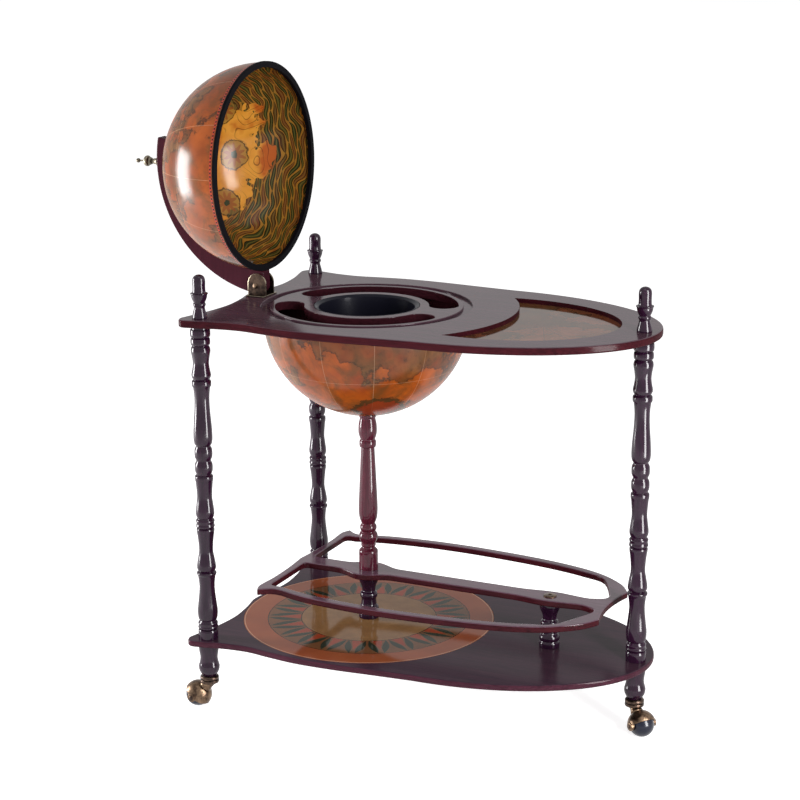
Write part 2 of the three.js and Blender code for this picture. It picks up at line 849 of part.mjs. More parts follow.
// One C-shaped slot of the tray, centred on the -Y side.
function traySlot(outer, inner) {
  const middle = (outer + inner) / 2;
  const cap = (outer - inner) / 2;
  const start = -Math.PI + radians(slotBridgeDegrees / 2) + cap / middle;
  const end = -radians(slotBridgeDegrees / 2) - cap / middle;
  const slot = new THREE.Shape();
  slot.absarc(0, 0, outer, start, end, false);
  slot.absarc(middle * Math.cos(end), middle * Math.sin(end), cap, end, end + Math.PI, false);
  slot.absarc(0, 0, inner, end, start, true);
  slot.absarc(middle * Math.cos(start), middle * Math.sin(start), cap, start - Math.PI, start, false);
  return slot;
}

// The wooden tray with two slots, and the ice bucket that hangs in its middle by the rim.
function makeTray() {
  const trayBottom = tableTop - trayThickness;
  const bodyRadius = tableHoleRadius - liftFit;
  const tray = solid(
    turned([
      [0, trayBottom],
      [bodyRadius, trayBottom],
      [bodyRadius, ledgeTop + seat],
      [tableHoleRadius + trayLip, ledgeTop + seat],
      [tableHoleRadius + trayLip, tableTop],
      [0, tableTop],
    ], globeSegments),
  );
  const slotSteps = 6;
  const slot = new THREE.ExtrudeGeometry(traySlot(bodyRadius - traySlotWall, slotInnerRadius), {
    depth: trayThickness + 2 * overrun,
    bevelEnabled: false,
    curveSegments: slotSteps,
  }).translate(0, 0, trayBottom - overrun);
  const frontSlot = solid(slot);
  const bucketHole = rod(
    bucketTopRadius + liftFit, trayBottom - overrun, tableTop + overrun, globeSegments,
  );
  const rimRecess = rod(
    bucketRimRadius + liftFit, tableTop - bucketRimThickness, tableTop + overrun, globeSegments,
  );
  const cutTray = tray
    .subtract(frontSlot)
    .subtract(frontSlot.mirror([0, 1, 0]))
    .subtract(solid(bucketHole))
    .subtract(solid(rimRecess));
  add("bottle_tray", cutTray, mahogany);

  const rimBottom = tableTop - bucketRimThickness + seat;
  const rimTop = rimBottom + bucketRimThickness;
  const bucketBottom = rimBottom - bucketDepth;
  const bucket = turned([
    [0, bucketBottom],
    [bucketBottomRadius, bucketBottom],
    [bucketTopRadius, rimBottom],
    [bucketRimRadius, rimBottom],
    [bucketRimRadius, rimTop],
    [bucketTopRadius - bucketWall, rimTop],
    [bucketBottomRadius - bucketWall, bucketBottom + bucketWall],
    [0, bucketBottom + bucketWall],
  ], globeSegments);
  add("ice_bucket", bucket, bucketBlack);
}

// The bracket's plate, its screws and the pin, fixed to the table.
function bracketTop() {
  return tableTop + seat + bracketPlate;
}

function earOutside() {
  return armWidth / 2 + swingFit + earThickness;
}

function bracketScrewPlaces() {
  const middle = earOutside() + bracketFlange / 2;
  return [-middle, middle];
}

function makeBracket() {
  const middle = pinX + earCentreOffset;
  const earInside = earOutside() - earThickness;
  const plateHalfWidth = earOutside() + bracketFlange;
  const archZ = tableTop + earArchHeight;
  const bottom = tableTop + seat;
  const ear = new THREE.Shape();
  ear.moveTo(middle - earWidth / 2, bottom);
  ear.lineTo(middle + earWidth / 2, bottom);
  ear.absarc(middle, archZ, earWidth / 2, 0, Math.PI, false);
  const pinHole = new THREE.Path();
  pinHole.absarc(pinX, pinZ, pinRadius + boreFit, 0, 2 * Math.PI, true);
  ear.holes.push(pinHole);
  const archSteps = 8;
  const earPlate = new THREE.ExtrudeGeometry(ear, {
    depth: earThickness,
    bevelEnabled: false,
    curveSegments: archSteps,
  }).rotateX(Math.PI / 2);
  const frontEar = solid(earPlate.clone().translate(0, -earInside, 0));
  const backEar = solid(earPlate.clone().translate(0, earOutside(), 0));
  const plate = block(
    [middle - earWidth / 2, -plateHalfWidth, bottom],
    [middle + earWidth / 2, plateHalfWidth, bottom + bracketPlate],
  );
  let bracket = solid(plate).add(frontEar).add(backEar);
  bracketScrewPlaces().forEach((y, i) => {
    const headBottom = bracketTop() - bracketScrewHeadDepth;
    const screw = fastener([
      [0, bracketTop() - bracketScrewLength],
      [bracketScrewRadius, bracketTop() - bracketScrewLength],
      [bracketScrewRadius, headBottom + boreFit],
      [bracketScrewHead, headBottom + boreFit],
      [bracketScrewHead, bracketTop()],
      [0, bracketTop()],
    ]);
    const hole = rod(bracketScrewRadius + boreFit, bottom - overrun, bracketTop() + overrun);
    const headHole = rod(bracketScrewHead + boreFit, headBottom, bracketTop() + overrun);
    bracket = bracket
      .subtract(solid(hole.translate(middle, y, 0)))
      .subtract(solid(headHole.translate(middle, y, 0)));
    add(`bracket_screw_${i + 1}`, screw.translate(middle, y, 0), brass);
  });
  add("hinge_bracket", bracket, brass);
  const headInside = earOutside() + boreFit;
  const headOutside = headInside + pinHeadThickness;
  const pin = fastener([
    [0, -headOutside],
    [pinHeadRadius, -headOutside],
    [pinHeadRadius, -headInside],
    [pinRadius, -headInside],
    [pinRadius, headInside],
    [pinHeadRadius, headInside],
    [pinHeadRadius, headOutside],
    [0, headOutside],
  ]).rotateX(Math.PI / 2);
  add("hinge_pin", pin.translate(pinX, 0, pinZ), brass);
}

// The arm's side view in the closed position, from the lid's centre: X across, Y up.
function armOutline() {
  const hingeX = pinX;
  const hingeY = pinZ - lidCentreZ;
  const endRadius = pinHeight - seat - bracketPlate - swingFit;
  const endY = hingeY - endRadius;
  const innerStart = Math.PI - Math.asin(endY / armInnerRadius);
  const poleEnd = Math.PI / 2 - radians(armPastPoleDegrees);
  const outerStartX = hingeX - endRadius;
  const outerStart = Math.atan2(hingeY, outerStartX);
  const outerStartRadius = Math.hypot(outerStartX, hingeY);
  const growth = outerStartRadius - armPoleRadius;
  const points = [];
  for (let i = 0; i <= armSteps; i += 1) {
    const angle = innerStart + ((poleEnd - innerStart) * i) / armSteps;
    points.push([armInnerRadius * Math.cos(angle), armInnerRadius * Math.sin(angle)]);
  }
  for (let i = 0; i <= armSteps; i += 1) {
    const angle = poleEnd + ((outerStart - poleEnd) * i) / armSteps;
    const rise = Math.max(0, (angle - Math.PI / 2) / (outerStart - Math.PI / 2));
    const radius = armPoleRadius + growth * rise ** 2;
    points.push([radius * Math.cos(angle), radius * Math.sin(angle)]);
  }
  const endSteps = 6;
  for (let i = 1; i <= endSteps; i += 1) {
    const angle = Math.PI + ((Math.PI / 2) * i) / endSteps;
    points.push([hingeX + endRadius * Math.cos(angle), hingeY + endRadius * Math.sin(angle)]);
  }
  return points.map(([x, y]) => new THREE.Vector2(x, y));
}

// The lid and all that swings with it, modelled closed and swung open round the pin.
function makeLid() {
  const hinge = new THREE.Group();
  hinge.position.set(pinX, 0, pinZ);
  hinge.rotation.y = -radians(lidOpenDegrees);
  assembly.add(hinge);
  const lid = new THREE.Group();
  lid.position.set(-pinX, 0, lidCentreZ - pinZ);
  hinge.add(lid);

  const spindleHole = spindleRadius + boreFit;
  const bandOutside = globeInside - rimBandGap;
  const bandInside = bandOutside - rimBandThickness;
  const skirtInside = globeRadius + seat;
  const skirtOutside = skirtInside + rimSkirtThickness;
  const rimCut = block(
    [-globeRadius - overrun, -globeRadius - overrun, -overrun],
    [globeRadius + overrun, globeRadius + overrun, rimEdgeThickness + seat],
  );
  const polarAngles = armScrewAngles.map(radians);
  let shell = solid(halfGlobe(spindleHole, 0, polarAngles)).subtract(solid(rimCut));
  const band = turned([
    [bandInside, 0],
    [skirtOutside, 0],
    [skirtOutside, rimSkirtHeight],
    [skirtInside, rimSkirtHeight],
    [skirtInside, rimEdgeThickness],
    [bandOutside, rimEdgeThickness],
    [bandOutside, rimBandHeight],
    [bandInside, rimBandHeight],
    [bandInside, 0],
  ], globeSegments);
  add("lid_rim_band", band, rimBlack, lid);

  const armPlate = new THREE.ExtrudeGeometry(new THREE.Shape(armOutline()), {
    depth: armWidth,
    bevelEnabled: false,
  });
  const pinBore = rod(pinRadius + boreFit, -armWidth, armWidth).rotateX(Math.PI / 2);
  const poleBore = rod(spindleHole, globeRadius, armPoleRadius + overrun);
  let arm = solid(armPlate.rotateX(Math.PI / 2).translate(0, armWidth / 2, 0))
    .subtract(solid(pinBore.translate(pinX, 0, pinZ - lidCentreZ)))
    .subtract(solid(poleBore));

  polarAngles.forEach((angle, i) => {
    const turn = -angle;
    const headTop = globeInside - seat;
    const tip = headTop + armScrewLength;
    const screw = fastener([
      [0, headTop - armScrewHeadDepth],
      [armScrewHead, headTop - armScrewHeadDepth],
      [armScrewHead, headTop],
      [armScrewRadius, headTop],
      [armScrewRadius, tip],
      [0, tip],
    ]).rotateY(turn);
    const bore = solid(rod(armScrewRadius + boreFit, headTop - overrun, tip + seat).rotateY(turn));
    const spacer = fastener([
      [armScrewRadius + boreFit, globeRadius + seat],
      [spacerRadius, globeRadius + seat],
      [spacerRadius, armInnerRadius - spacerFit],
      [armScrewRadius + boreFit, armInnerRadius - spacerFit],
      [armScrewRadius + boreFit, globeRadius + seat],
    ]).rotateY(turn);
    const headSeat = solid(
      rod(armScrewHead + boreFit, headTop - overrun, globeInside).rotateY(turn),
    );
    shell = shell.subtract(bore).subtract(headSeat);
    arm = arm.subtract(bore);
    add(`arm_screw_${i + 1}`, screw, steel, lid);
    add(`arm_spacer_${i + 1}`, spacer, brass, lid);
  });
  add("lid_shell", shell, globePrint, lid);
  add("meridian_arm", arm, mahogany, lid);
  makePoleFinial(lid);
}

// The spindle through the pole, its nut inside the lid, and the flange and knob outside the arm.
function makePoleFinial(lid) {
  const bore = spindleRadius + boreFit;
  const nutTop = poleHeightInside - seat;
  const flangeBottom = armPoleRadius + seat;
  const flangeTop = flangeBottom + flangeLength;
  const knobBottom = flangeTop + knobNeck;
  const knobTop = knobBottom + knobLength;
  const rodTop = knobTop + tipRodLength;
  const tipCentre = rodTop + tipRadius;
  const tipSteps = 5;
  const tip = Array.from({ length: tipSteps }, (_, i) => {
    const angle = -Math.PI / 2 + (Math.PI * (i + 1)) / (tipSteps + 1);
    return [tipRadius * Math.cos(angle), tipCentre + tipRadius * Math.sin(angle)];
  });
  const spindle = turned([
    [0, nutTop - spindleNutDepth],
    [spindleNutRadius, nutTop - spindleNutDepth],
    [spindleNutRadius, nutTop],
    [spindleRadius, nutTop],
    [spindleRadius, knobTop],
    [tipRodRadius, knobTop + boreFit],
    [tipRodRadius, rodTop],
    ...tip,
    [0, tipCentre + tipRadius],
  ]);
  add("pole_spindle", spindle, brass, lid);
  const spacer = fastener([
    [bore, poleHeight + seat],
    [spacerRadius, poleHeight + seat],
    [spacerRadius, armInnerRadius - spacerFit],
    [bore, armInnerRadius - spacerFit],
    [bore, poleHeight + seat],
  ]);
  add("pole_spacer", spacer, brass, lid);
  const flange = boredFromShares(flangeShares, flangeRadius, bore, flangeBottom, flangeTop);
  add("pole_flange", flange, brass, lid);
  const knob = boredFromShares(knobShares, knobRadius, bore, knobBottom, knobTop);
  add("pole_knob", knob, brass, lid);
}

// A caster: socket in the foot, hood with its stem, ball wheel and axle.
function makeCaster({ name, x, y, trail }) {
  const station = new THREE.Group();
  station.position.set(x, y, 0);
  station.rotation.z = radians(trail);
  assembly.add(station);

  const socketBottom = casterHeight - socketHeight;
  const socketTop = casterHeight - seat;
  const stemBore = stemRadius + boreFit;
  const socketRows = socketShares.map(([height, share]) => [
    share * socketRadius,
    socketBottom + height * (socketTop - socketBottom),
  ]);
  const sleeveTop = casterHeight + socketSleeve;
  const socket = turned([
    [stemBore, socketBottom],
    ...socketRows,
    [sleeveRadius, socketTop],
    [sleeveRadius, sleeveTop],
    [stemBore, sleeveTop],
    [stemBore, socketBottom],
  ]);
  add(`caster_socket_${name}`, socket, brass, station);

  // A flat of the faceted tread rests on the floor.
  const ballZ = ballRadius * Math.cos(Math.PI / ballSegments);
  const toBall = (shape) => shape.rotateX(Math.PI / 2).translate(casterTrail, 0, ballZ);
  const sideRadius = Math.sqrt(ballRadius ** 2 - ballHalfWidth ** 2);
  const shoulder = (ballTread / 2 + ballHalfWidth) / 2;
  const shoulderRadius = Math.sqrt(ballRadius ** 2 - shoulder ** 2);
  const ballRows = [
    [ballBore, -ballHalfWidth],
    [sideRadius, -ballHalfWidth],
    [shoulderRadius, -shoulder],
    [ballRadius, -ballTread / 2],
    [ballRadius, ballTread / 2],
    [shoulderRadius, shoulder],
    [sideRadius, ballHalfWidth],
    [ballBore, ballHalfWidth],
    [ballBore, -ballHalfWidth],
  ];
  const halfStep = Math.PI / ballSegments;
  const ball = toBall(turned(ballRows, ballSegments).rotateZ(halfStep));
  add(`caster_ball_${name}`, ball, ballBlack, station);

  const hoodOuter = ballRadius + hoodGap + hoodWall;
  const hoodInner = ballRadius + hoodGap;
  const cheek = ballHalfWidth + hoodGap;
  const hoodRings = 6;
  const sphere = (radius) => {
    const rows = Array.from({ length: hoodRings + 1 }, (_, i) => {
      const angle = -Math.PI / 2 + (Math.PI * i) / hoodRings;
      return [Math.max(0, radius * Math.cos(angle)), radius * Math.sin(angle)];
    });
    return toBall(turned(rows, ballSegments));
  };
  const clear = casterTrail + hoodOuter;
  const below = block([-clear, -clear, -clear], [clear, clear, 0])
    .rotateY(-radians(hoodTiltDegrees))
    .translate(casterTrail, 0, ballZ);
  const cavity = solid(sphere(hoodInner)).intersect(
    solid(block([0, -cheek, -overrun], [clear, cheek, clear])),
  );
  const bossEnd = hoodOuter + hoodBossProud;
  const boss = toBall(rod(hoodBossRadius, -bossEnd, bossEnd));
  const stemTop = casterHeight + stemLength;
  const hoodTop = socketBottom - seat;
  const neckReach = Math.hypot(casterTrail, hoodTop - ballZ);
  const lean = Math.atan2(casterTrail, hoodTop - ballZ);
  const neck = new THREE.CylinderGeometry(
    neckTopRadius, neckBottomRadius, 2 * neckReach, legSegments,
  )
    .rotateX(Math.PI / 2)
    .rotateY(-lean)
    .translate(0, 0, hoodTop);
  const above = block([-clear - neckReach, -clear, hoodTop], [clear, clear, hoodTop + clear]);
  const stem = rod(stemRadius, ballZ + hoodOuter / 2, stemTop);
  const axleBore = toBall(rod(axleRadius + boreFit, -bossEnd - overrun, bossEnd + overrun));
  const hood = solid(sphere(hoodOuter))
    .subtract(solid(below))
    .add(solid(neck).intersect(solid(sphere(clear)).subtract(solid(below))))
    .subtract(solid(above))
    .add(solid(boss))
    .add(solid(stem))
    .subtract(cavity)
    .subtract(solid(axleBore));
  add(`caster_hood_${name}`, hood, brass, station);

  const axleEnd = bossEnd + seat + axleHeadThickness;
  const headInside = bossEnd + seat;
  const axle = fastener([
    [0, -axleEnd],
    [axleHeadRadius, -headInside],
    [axleRadius, -headInside],
    [axleRadius, headInside],
    [axleHeadRadius, headInside],
    [0, axleEnd],
  ]);
  add(`caster_axle_${name}`, toBall(axle), brass, station);
}

makeTable();
makeShelf();
makeRail();
stations.forEach(makeLeg);
makeColumn();
makeBowl();
makeTray();
makeBracket();
makeLid();
stations.forEach(makeCaster);

// The origin lies on the floor below the middle of the whole object, lid open.
part.updateMatrixWorld(true);
const middle = new THREE.Box3().setFromObject(assembly, true).getCenter(new THREE.Vector3());
assembly.position.set(-middle.x, -middle.y, 0);

export default part;
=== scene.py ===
# The looks of a floor globe bar: a lacquered mahogany table on turned legs, with a globe printed as
# an antique map whose lid stands open. Metres, +Z up, in the frame that the CAD model is packed in.
from functools import partial
from math import acos, asin, atan2, cos, degrees, hypot, pi, radians, sin, sqrt

import bpy
from mathutils import Matrix, Vector


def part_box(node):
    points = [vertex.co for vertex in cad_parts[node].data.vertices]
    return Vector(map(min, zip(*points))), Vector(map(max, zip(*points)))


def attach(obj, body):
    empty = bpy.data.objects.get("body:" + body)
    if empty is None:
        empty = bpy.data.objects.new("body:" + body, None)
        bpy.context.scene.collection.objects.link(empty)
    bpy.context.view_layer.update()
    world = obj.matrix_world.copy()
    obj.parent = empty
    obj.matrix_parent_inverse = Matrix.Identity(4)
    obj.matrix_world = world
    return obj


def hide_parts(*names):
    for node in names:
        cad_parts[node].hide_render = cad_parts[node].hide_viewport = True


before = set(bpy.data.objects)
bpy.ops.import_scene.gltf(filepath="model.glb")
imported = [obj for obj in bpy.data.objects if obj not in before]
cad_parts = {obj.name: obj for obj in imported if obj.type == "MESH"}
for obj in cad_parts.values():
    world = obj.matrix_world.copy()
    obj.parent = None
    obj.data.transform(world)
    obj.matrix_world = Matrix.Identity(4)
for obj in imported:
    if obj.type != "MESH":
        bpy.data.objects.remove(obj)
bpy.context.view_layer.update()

mm = 0.001

# Steps round turned work, and between two points of a smoothed line
small_steps = 28
globe_steps = 96
curve_steps = 3
# Bends up to the first are smooth, and faces within the second are one face
smooth_angle = radians(38)
flat_angle = radians(0.1)
merge_distance = 0.01 * mm
# How far a cutting tool reaches past the piece that it cuts
overrun = 6 * mm
# A face is level when its normal rises by more than this
level_rise = 0.6
# Lays what stands on Z along Y
upright = Matrix.Rotation(pi / 2, 4, "X")


# Tools for shaping

def deselect():
    """Leaves nothing selected, in object mode."""
    if bpy.context.object and bpy.context.object.mode != "OBJECT":
        bpy.ops.object.mode_set(mode="OBJECT")
    bpy.ops.object.select_all(action="DESELECT")


def activate(piece):
    """Selects one piece alone."""
    deselect()
    piece.select_set(True)
    bpy.context.view_layer.objects.active = piece


def edit(piece):
    """Opens the mesh of a piece with all of it selected."""
    activate(piece)
    bpy.ops.object.mode_set(mode="EDIT")
    bpy.ops.mesh.select_all(action="SELECT")


def place(piece, matrix):
    """Moves the mesh of a piece, so that its object stays at the origin."""
    activate(piece)
    piece.matrix_world = matrix @ piece.matrix_world
    bpy.ops.object.transform_apply(location=True, rotation=True, scale=True)


def apply_modifier(piece, kind, **settings):
    """Gives a piece a modifier and makes its result the mesh."""
    activate(piece)
    modifier = piece.modifiers.new(kind.lower(), kind)
    for name, value in settings.items():
        setattr(modifier, name, value)
    bpy.ops.object.modifier_apply(modifier=modifier.name)


def clean(piece, angle=smooth_angle):
    """Merges doubles, drops loose edges, turns faces outwards and shades them smooth."""
    edit(piece)
    bpy.ops.mesh.remove_doubles(threshold=merge_distance)
    bpy.ops.mesh.delete_loose()
    bpy.ops.mesh.select_all(action="SELECT")
    bpy.ops.mesh.normals_make_consistent(inside=False)
    bpy.ops.object.mode_set(mode="OBJECT")
    bpy.ops.object.shade_smooth_by_angle(angle=angle)


def ease(piece, width, segments=3, angle=smooth_angle):
    """Rounds the sharp edges of a piece."""
    apply_modifier(
        piece, "BEVEL", width=width, segments=segments, limit_method="ANGLE",
        angle_limit=angle, use_clamp_overlap=False,
    )
    clean(piece)


def cut(piece, tool):
    """Cuts a tool out of a piece and removes the tool."""
    apply_modifier(piece, "BOOLEAN", operation="DIFFERENCE", solver="EXACT", object=tool)
    bpy.data.objects.remove(tool)


def smoothed(points, steps=curve_steps):
    """A smooth curve through points."""
    points = [Vector(point) for point in points]
    line = []
    for index in range(len(points) - 1):
        before = points[max(index - 1, 0)]
        start = points[index]
        end = points[index + 1]
        after = points[min(index + 2, len(points) - 1)]
        leave = (end - before) / 2
        arrive = (after - start) / 2
        for step in range(steps):
            t = step / steps
            cubic = (2 * start - 2 * end + leave + arrive) * t ** 3
            square = (3 * end - 3 * start - 2 * leave - arrive) * t ** 2
            line.append(cubic + square + leave * t + start)
    return [tuple(point) for point in [*line, points[-1]]]


def measured(rows, base=0):
    """A profile in metres, from rows in millimetres whose heights start at a base."""
    return [(radius * mm, base + height * mm) for radius, height in rows]


def turned(name, profile, steps=small_steps):
    """A body turned round Z from (radius, height) points that start and end on the axis."""
    deselect()
    bpy.ops.mesh.primitive_plane_add(size=mm)
    piece = bpy.context.object
    piece.name = name
    points = [Vector((radius, 0, height)) for radius, height in profile]
    edit(piece)
    bpy.ops.mesh.merge(type="CENTER")
    bpy.ops.transform.translate(value=points[0])
    for last, point in zip(points, points[1:]):
        bpy.ops.mesh.extrude_region_move(TRANSFORM_OT_translate={"value": point - last})
    bpy.ops.mesh.select_all(action="SELECT")
    bpy.ops.mesh.spin(steps=steps, angle=2 * pi, center=(0, 0, 0), axis=(0, 0, 1))
    clean(piece)
    return piece


def plug(name, radius, bottom, top, steps=small_steps):
    """A plain turned cylinder, to cut with or to join on."""
    return turned(name, [(0, bottom), (radius, bottom), (radius, top), (0, top)], steps)


def pin_with_heads(name, rows):
    """A pin with the same head at both ends, from the rows of one half in millimetres."""
    return turned(name, measured([*other_side(reversed(rows)), *rows]))


def turned_work(name, rows, radius, bottom, top, steps=small_steps):
    """Turned work between two heights, from (height, radius) rows in thousandths of the whole."""
    shares = smoothed([(height / 1000, share / 1000) for height, share in rows])
    profile = [(share * radius, bottom + height * (top - bottom)) for height, share in shares]
    return turned(name, [(0, profile[0][1]), *profile, (0, profile[-1][1])], steps)


def board(name, loops, bottom, top):
    """A flat board between two heights: the first loop is its outline, the others are openings."""
    rings = []
    for loop in loops:
        deselect()
        bpy.ops.mesh.primitive_circle_add(vertices=len(loop), radius=mm)
        ring = bpy.context.object
        for vertex, (x, y) in zip(ring.data.vertices, loop):
            vertex.co = (x, y, bottom)
        rings.append(ring)
    piece = join(rings)
    piece.name = name
    edit(piece)
    bpy.ops.mesh.fill(use_beauty=True)
    bpy.ops.mesh.dissolve_limited(angle_limit=flat_angle, use_dissolve_boundaries=False)
    bpy.ops.mesh.extrude_region_move(TRANSFORM_OT_translate={"value": (0, 0, top - bottom)})
    clean(piece)
    return piece


def arc(centre, radius, start, end, steps):
    """Points on an arc, angles in degrees, or on an ellipse where radius is a pair."""
    across, along = radius if isinstance(radius, tuple) else (radius, radius)
    angles = [radians(start + (end - start) * step / steps) for step in range(steps + 1)]
    return [
        (centre[0] + across * cos(angle), centre[1] + along * sin(angle))
        for angle in angles
    ]


def circle(radius):
    return arc((0, 0), radius, 0, 360, globe_steps)[:-1]


def other_side(points):
    """Points mirrored across the middle line."""
    return [(x, -y) for x, y in points]


def mirrored(half):
    """A front half from left to right, closed by its mirror image."""
    return [*half, *other_side(spot for spot in reversed(half) if abs(spot[1]) > merge_distance)]


def new_object(name, data):
    """An object at the origin, for a camera, a lamp or a mesh."""
    thing = bpy.data.objects.new(name, data)
    bpy.context.collection.objects.link(thing)
    return thing


def join(pieces):
    """Makes one piece of some."""
    activate(pieces[0])
    for piece in pieces:
        piece.select_set(True)
    if len(pieces) > 1:
        bpy.ops.object.join()
    return pieces[0]


def below_level(face):
    """Tells the sides and underside of a board from its top."""
    return face.normal.z < level_rise


def looks_towards(centre):
    """A test for the faces of a shell that look towards its middle."""
    return lambda face: face.normal.dot(face.center - Vector(centre)) < 0


def finish(piece, matrix, body, node, slot, *materials, second=below_level):
    """Places a piece for a CAD node, with its body and materials; its slot is not used.
    A second material goes to the faces that a test chooses, and then large faces look flat up to
    their rounded edges."""
    place(piece, matrix)
    if len(materials) > 1:
        apply_modifier(piece, "WEIGHTED_NORMAL", weight=100, keep_sharp=True)
    piece.data.materials.clear()
    for material in materials:
        piece.data.materials.append(material)
    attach(piece, body)
    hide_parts(node)
    if len(materials) > 1:
        for face in piece.data.polygons:
            face.material_index = 1 if second(face) else 0


# Tools for materials

def linear(colour):
    """A colour written as sRGB hex, in linear values."""
    channels = [int(colour[start:start + 2], 16) / 255 for start in (1, 3, 5)]
    return [
        *(c / 12.92 if c <= 0.04045 else ((c + 0.055) / 1.055) ** 2.4 for c in channels), 1,
    ]


def add_node(tree, kind, *values, inputs=None, stops=(), output=0, **named):
    """Adds a node and gives one of its outputs, or all of them. Its kind may end in its operation.
    Inputs are sockets or values, in order or by capitalised names. Other names are settings."""
    kind, *operation = kind.split(".")
    node = tree.nodes.new(f"ShaderNode{kind}")
    if operation:
        node.operation = operation[0]
    inputs = {**dict(enumerate(values)), **(inputs or {})}
    for name, value in named.items():
        if name[0].isupper():
            inputs[name.replace("_", " ")] = value
        else:
            setattr(node, name, value)
    for socket, value in inputs.items():
        if isinstance(value, bpy.types.NodeSocket):
            tree.links.new(value, node.inputs[socket])
        else:
            node.inputs[socket].default_value = value
    if stops:
        elements = node.color_ramp.elements
        while len(elements) < len(stops):
            elements.new(1)
        for element, (position, colour) in zip(elements, stops):
            element.position = position
            element.color = linear(colour)
    return node.outputs if output is None else node.outputs[output]


def new_material(name):
    """An empty material, and the function that adds its nodes."""
    material = bpy.data.materials.new(name)
    material.use_nodes = True
    material.node_tree.nodes.clear()
    return material, partial(add_node, material.node_tree)


def shade(add, **shader):
    """Ends a material with its shader, whose inputs are sockets or values."""
    add("OutputMaterial", Surface=add("BsdfPrincipled", **shader), output=None)


def ink(add, ground, colour, *shares):
    """Lays a colour over a ground, each a socket or sRGB hex, by the product of some shares."""
    share, *others = shares
    for other in others:
        share = add("Math.MULTIPLY", share, other)
    ground, colour = [linear(c) if isinstance(c, str) else c for c in (ground, colour)]
    return add("Mix", share, inputs={6: ground, 7: colour}, data_type="RGBA", output=2)


# Places taken from the CAD model
def heights(node):
    return [corner.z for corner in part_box(node)]


def box_middle(node):
    low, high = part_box(node)
    return (low + high) / 2


def move_to(node):
    """A move from the origin to the upright axis of a CAD node."""
    middle = box_middle(node)
    return Matrix.Translation((middle.x, middle.y, 0))


globe_axis = box_middle("globe_bowl").xy
to_axis = move_to("globe_bowl")
pin = box_middle("hinge_pin")
table_bottom, table_top = heights("table_top")
shelf_bottom, shelf_top = heights("lower_shelf")
rail_bottom, rail_top = heights("bottle_rail")
# Which way each caster trails, in degrees
stations = {"left_front": 180, "left_back": 190, "right": -38}

# The globe and its lid
globe_radius = 165 * mm
globe_inside = globe_radius - 4 * mm
pole_flat = 6 * mm
ledge_z = table_top - 4 * mm
lid_centre = Vector((globe_axis.x, globe_axis.y, ledge_z + 0.3 * mm))
lid_open = radians(-91)
swing = Matrix.Translation(pin) @ Matrix.Rotation(lid_open, 4, "Y") @ Matrix.Translation(-pin)
lid_place = swing @ Matrix.Translation(lid_centre)
lid_middle = lid_place.translation
bowl_centre = (globe_axis.x, globe_axis.y, table_bottom)


# Camera and studio
def make_camera():
    """The photograph's camera: a long lens, a little above the table."""
    lens = bpy.data.cameras.new("camera")
    lens.sensor_width = 36
    lens.lens = 95.35
    camera = new_object("camera", lens)
    camera.location = (1.402958, -2.954641, 1.354)
    camera.rotation_euler = (1.3132204, 0.0029591, 0.4376083)
    bpy.context.scene.camera = camera


def softbox(name, location, target, width, height, power, lights=True, shows=True):
    """A large rectangular lamp that faces a point, lights surfaces and shows as a highlight."""
    lamp = bpy.data.lights.new(name, "AREA")
    lamp.shape = "RECTANGLE"
    lamp.size = width
    lamp.size_y = height
    lamp.energy = power
    holder = new_object(name, lamp)
    holder.location = location
    towards = Vector(target) - Vector(location)
    holder.rotation_euler = towards.to_track_quat("-Z", "Y").to_euler()
    holder.visible_diffuse = lights
    holder.visible_glossy = shows


def seen_rays(add):
    """1 where a ray shows the background itself or its mirror image, and 0 where it lights."""
    rays = add("LightPath", output=None)
    seen = add("Math.MAXIMUM", rays["Is Camera Ray"], rays["Is Glossy Ray"])
    return add("Math.MAXIMUM", seen, rays["Is Transmission Ray"])


def make_studio():
    """White all round, softboxes at the sides and above, and a floor that keeps a faint shadow."""
    white = (1, 1, 1, 1)
    room_light = 0.3
    world = bpy.data.worlds.new("white_studio")
    bpy.context.scene.world = world
    world.use_nodes = True
    world.node_tree.nodes.clear()
    add = partial(add_node, world.node_tree)
    strength = add("Math.MULTIPLY_ADD", seen_rays(add), 1 - room_light, room_light)
    background = add("Background", Color=white, Strength=strength)
    add("OutputWorld", Surface=background, output=None)

    deselect()
    bpy.ops.mesh.primitive_plane_add(size=30)
    floor = bpy.context.object
    floor.name = "floor"
    paper, add = new_material("white_paper")
    floor_glow = add("Math.MULTIPLY", seen_rays(add), 0.8)
    shade(
        add, Base_Color=linear("#f4f4f4"), Roughness=1.0, Specular_IOR_Level=0.0,
        Emission_Color=white, Emission_Strength=floor_glow,
    )
    floor.data.materials.append(paper)

    middle = (0, 0, 0.6)
    softbox("softbox_left", (-2.4, -0.65, 0.62), middle, 0.8, 1.22, 92)
    softbox("softbox_right", (1.95, -1.25, 0.95), middle, 0.3, 1.6, 50, shows=False)
    softbox("softbox_above", (0.3, -0.6, 3.0), middle, 1.4, 1.4, 9)
    softbox("strip_right", (1.45, -0.42, 0.9), (0, 0, 0.9), 0.42, 1.9, 70, lights=False)


make_camera()
make_studio()
bpy.context.scene.view_settings.view_transform = "Standard"


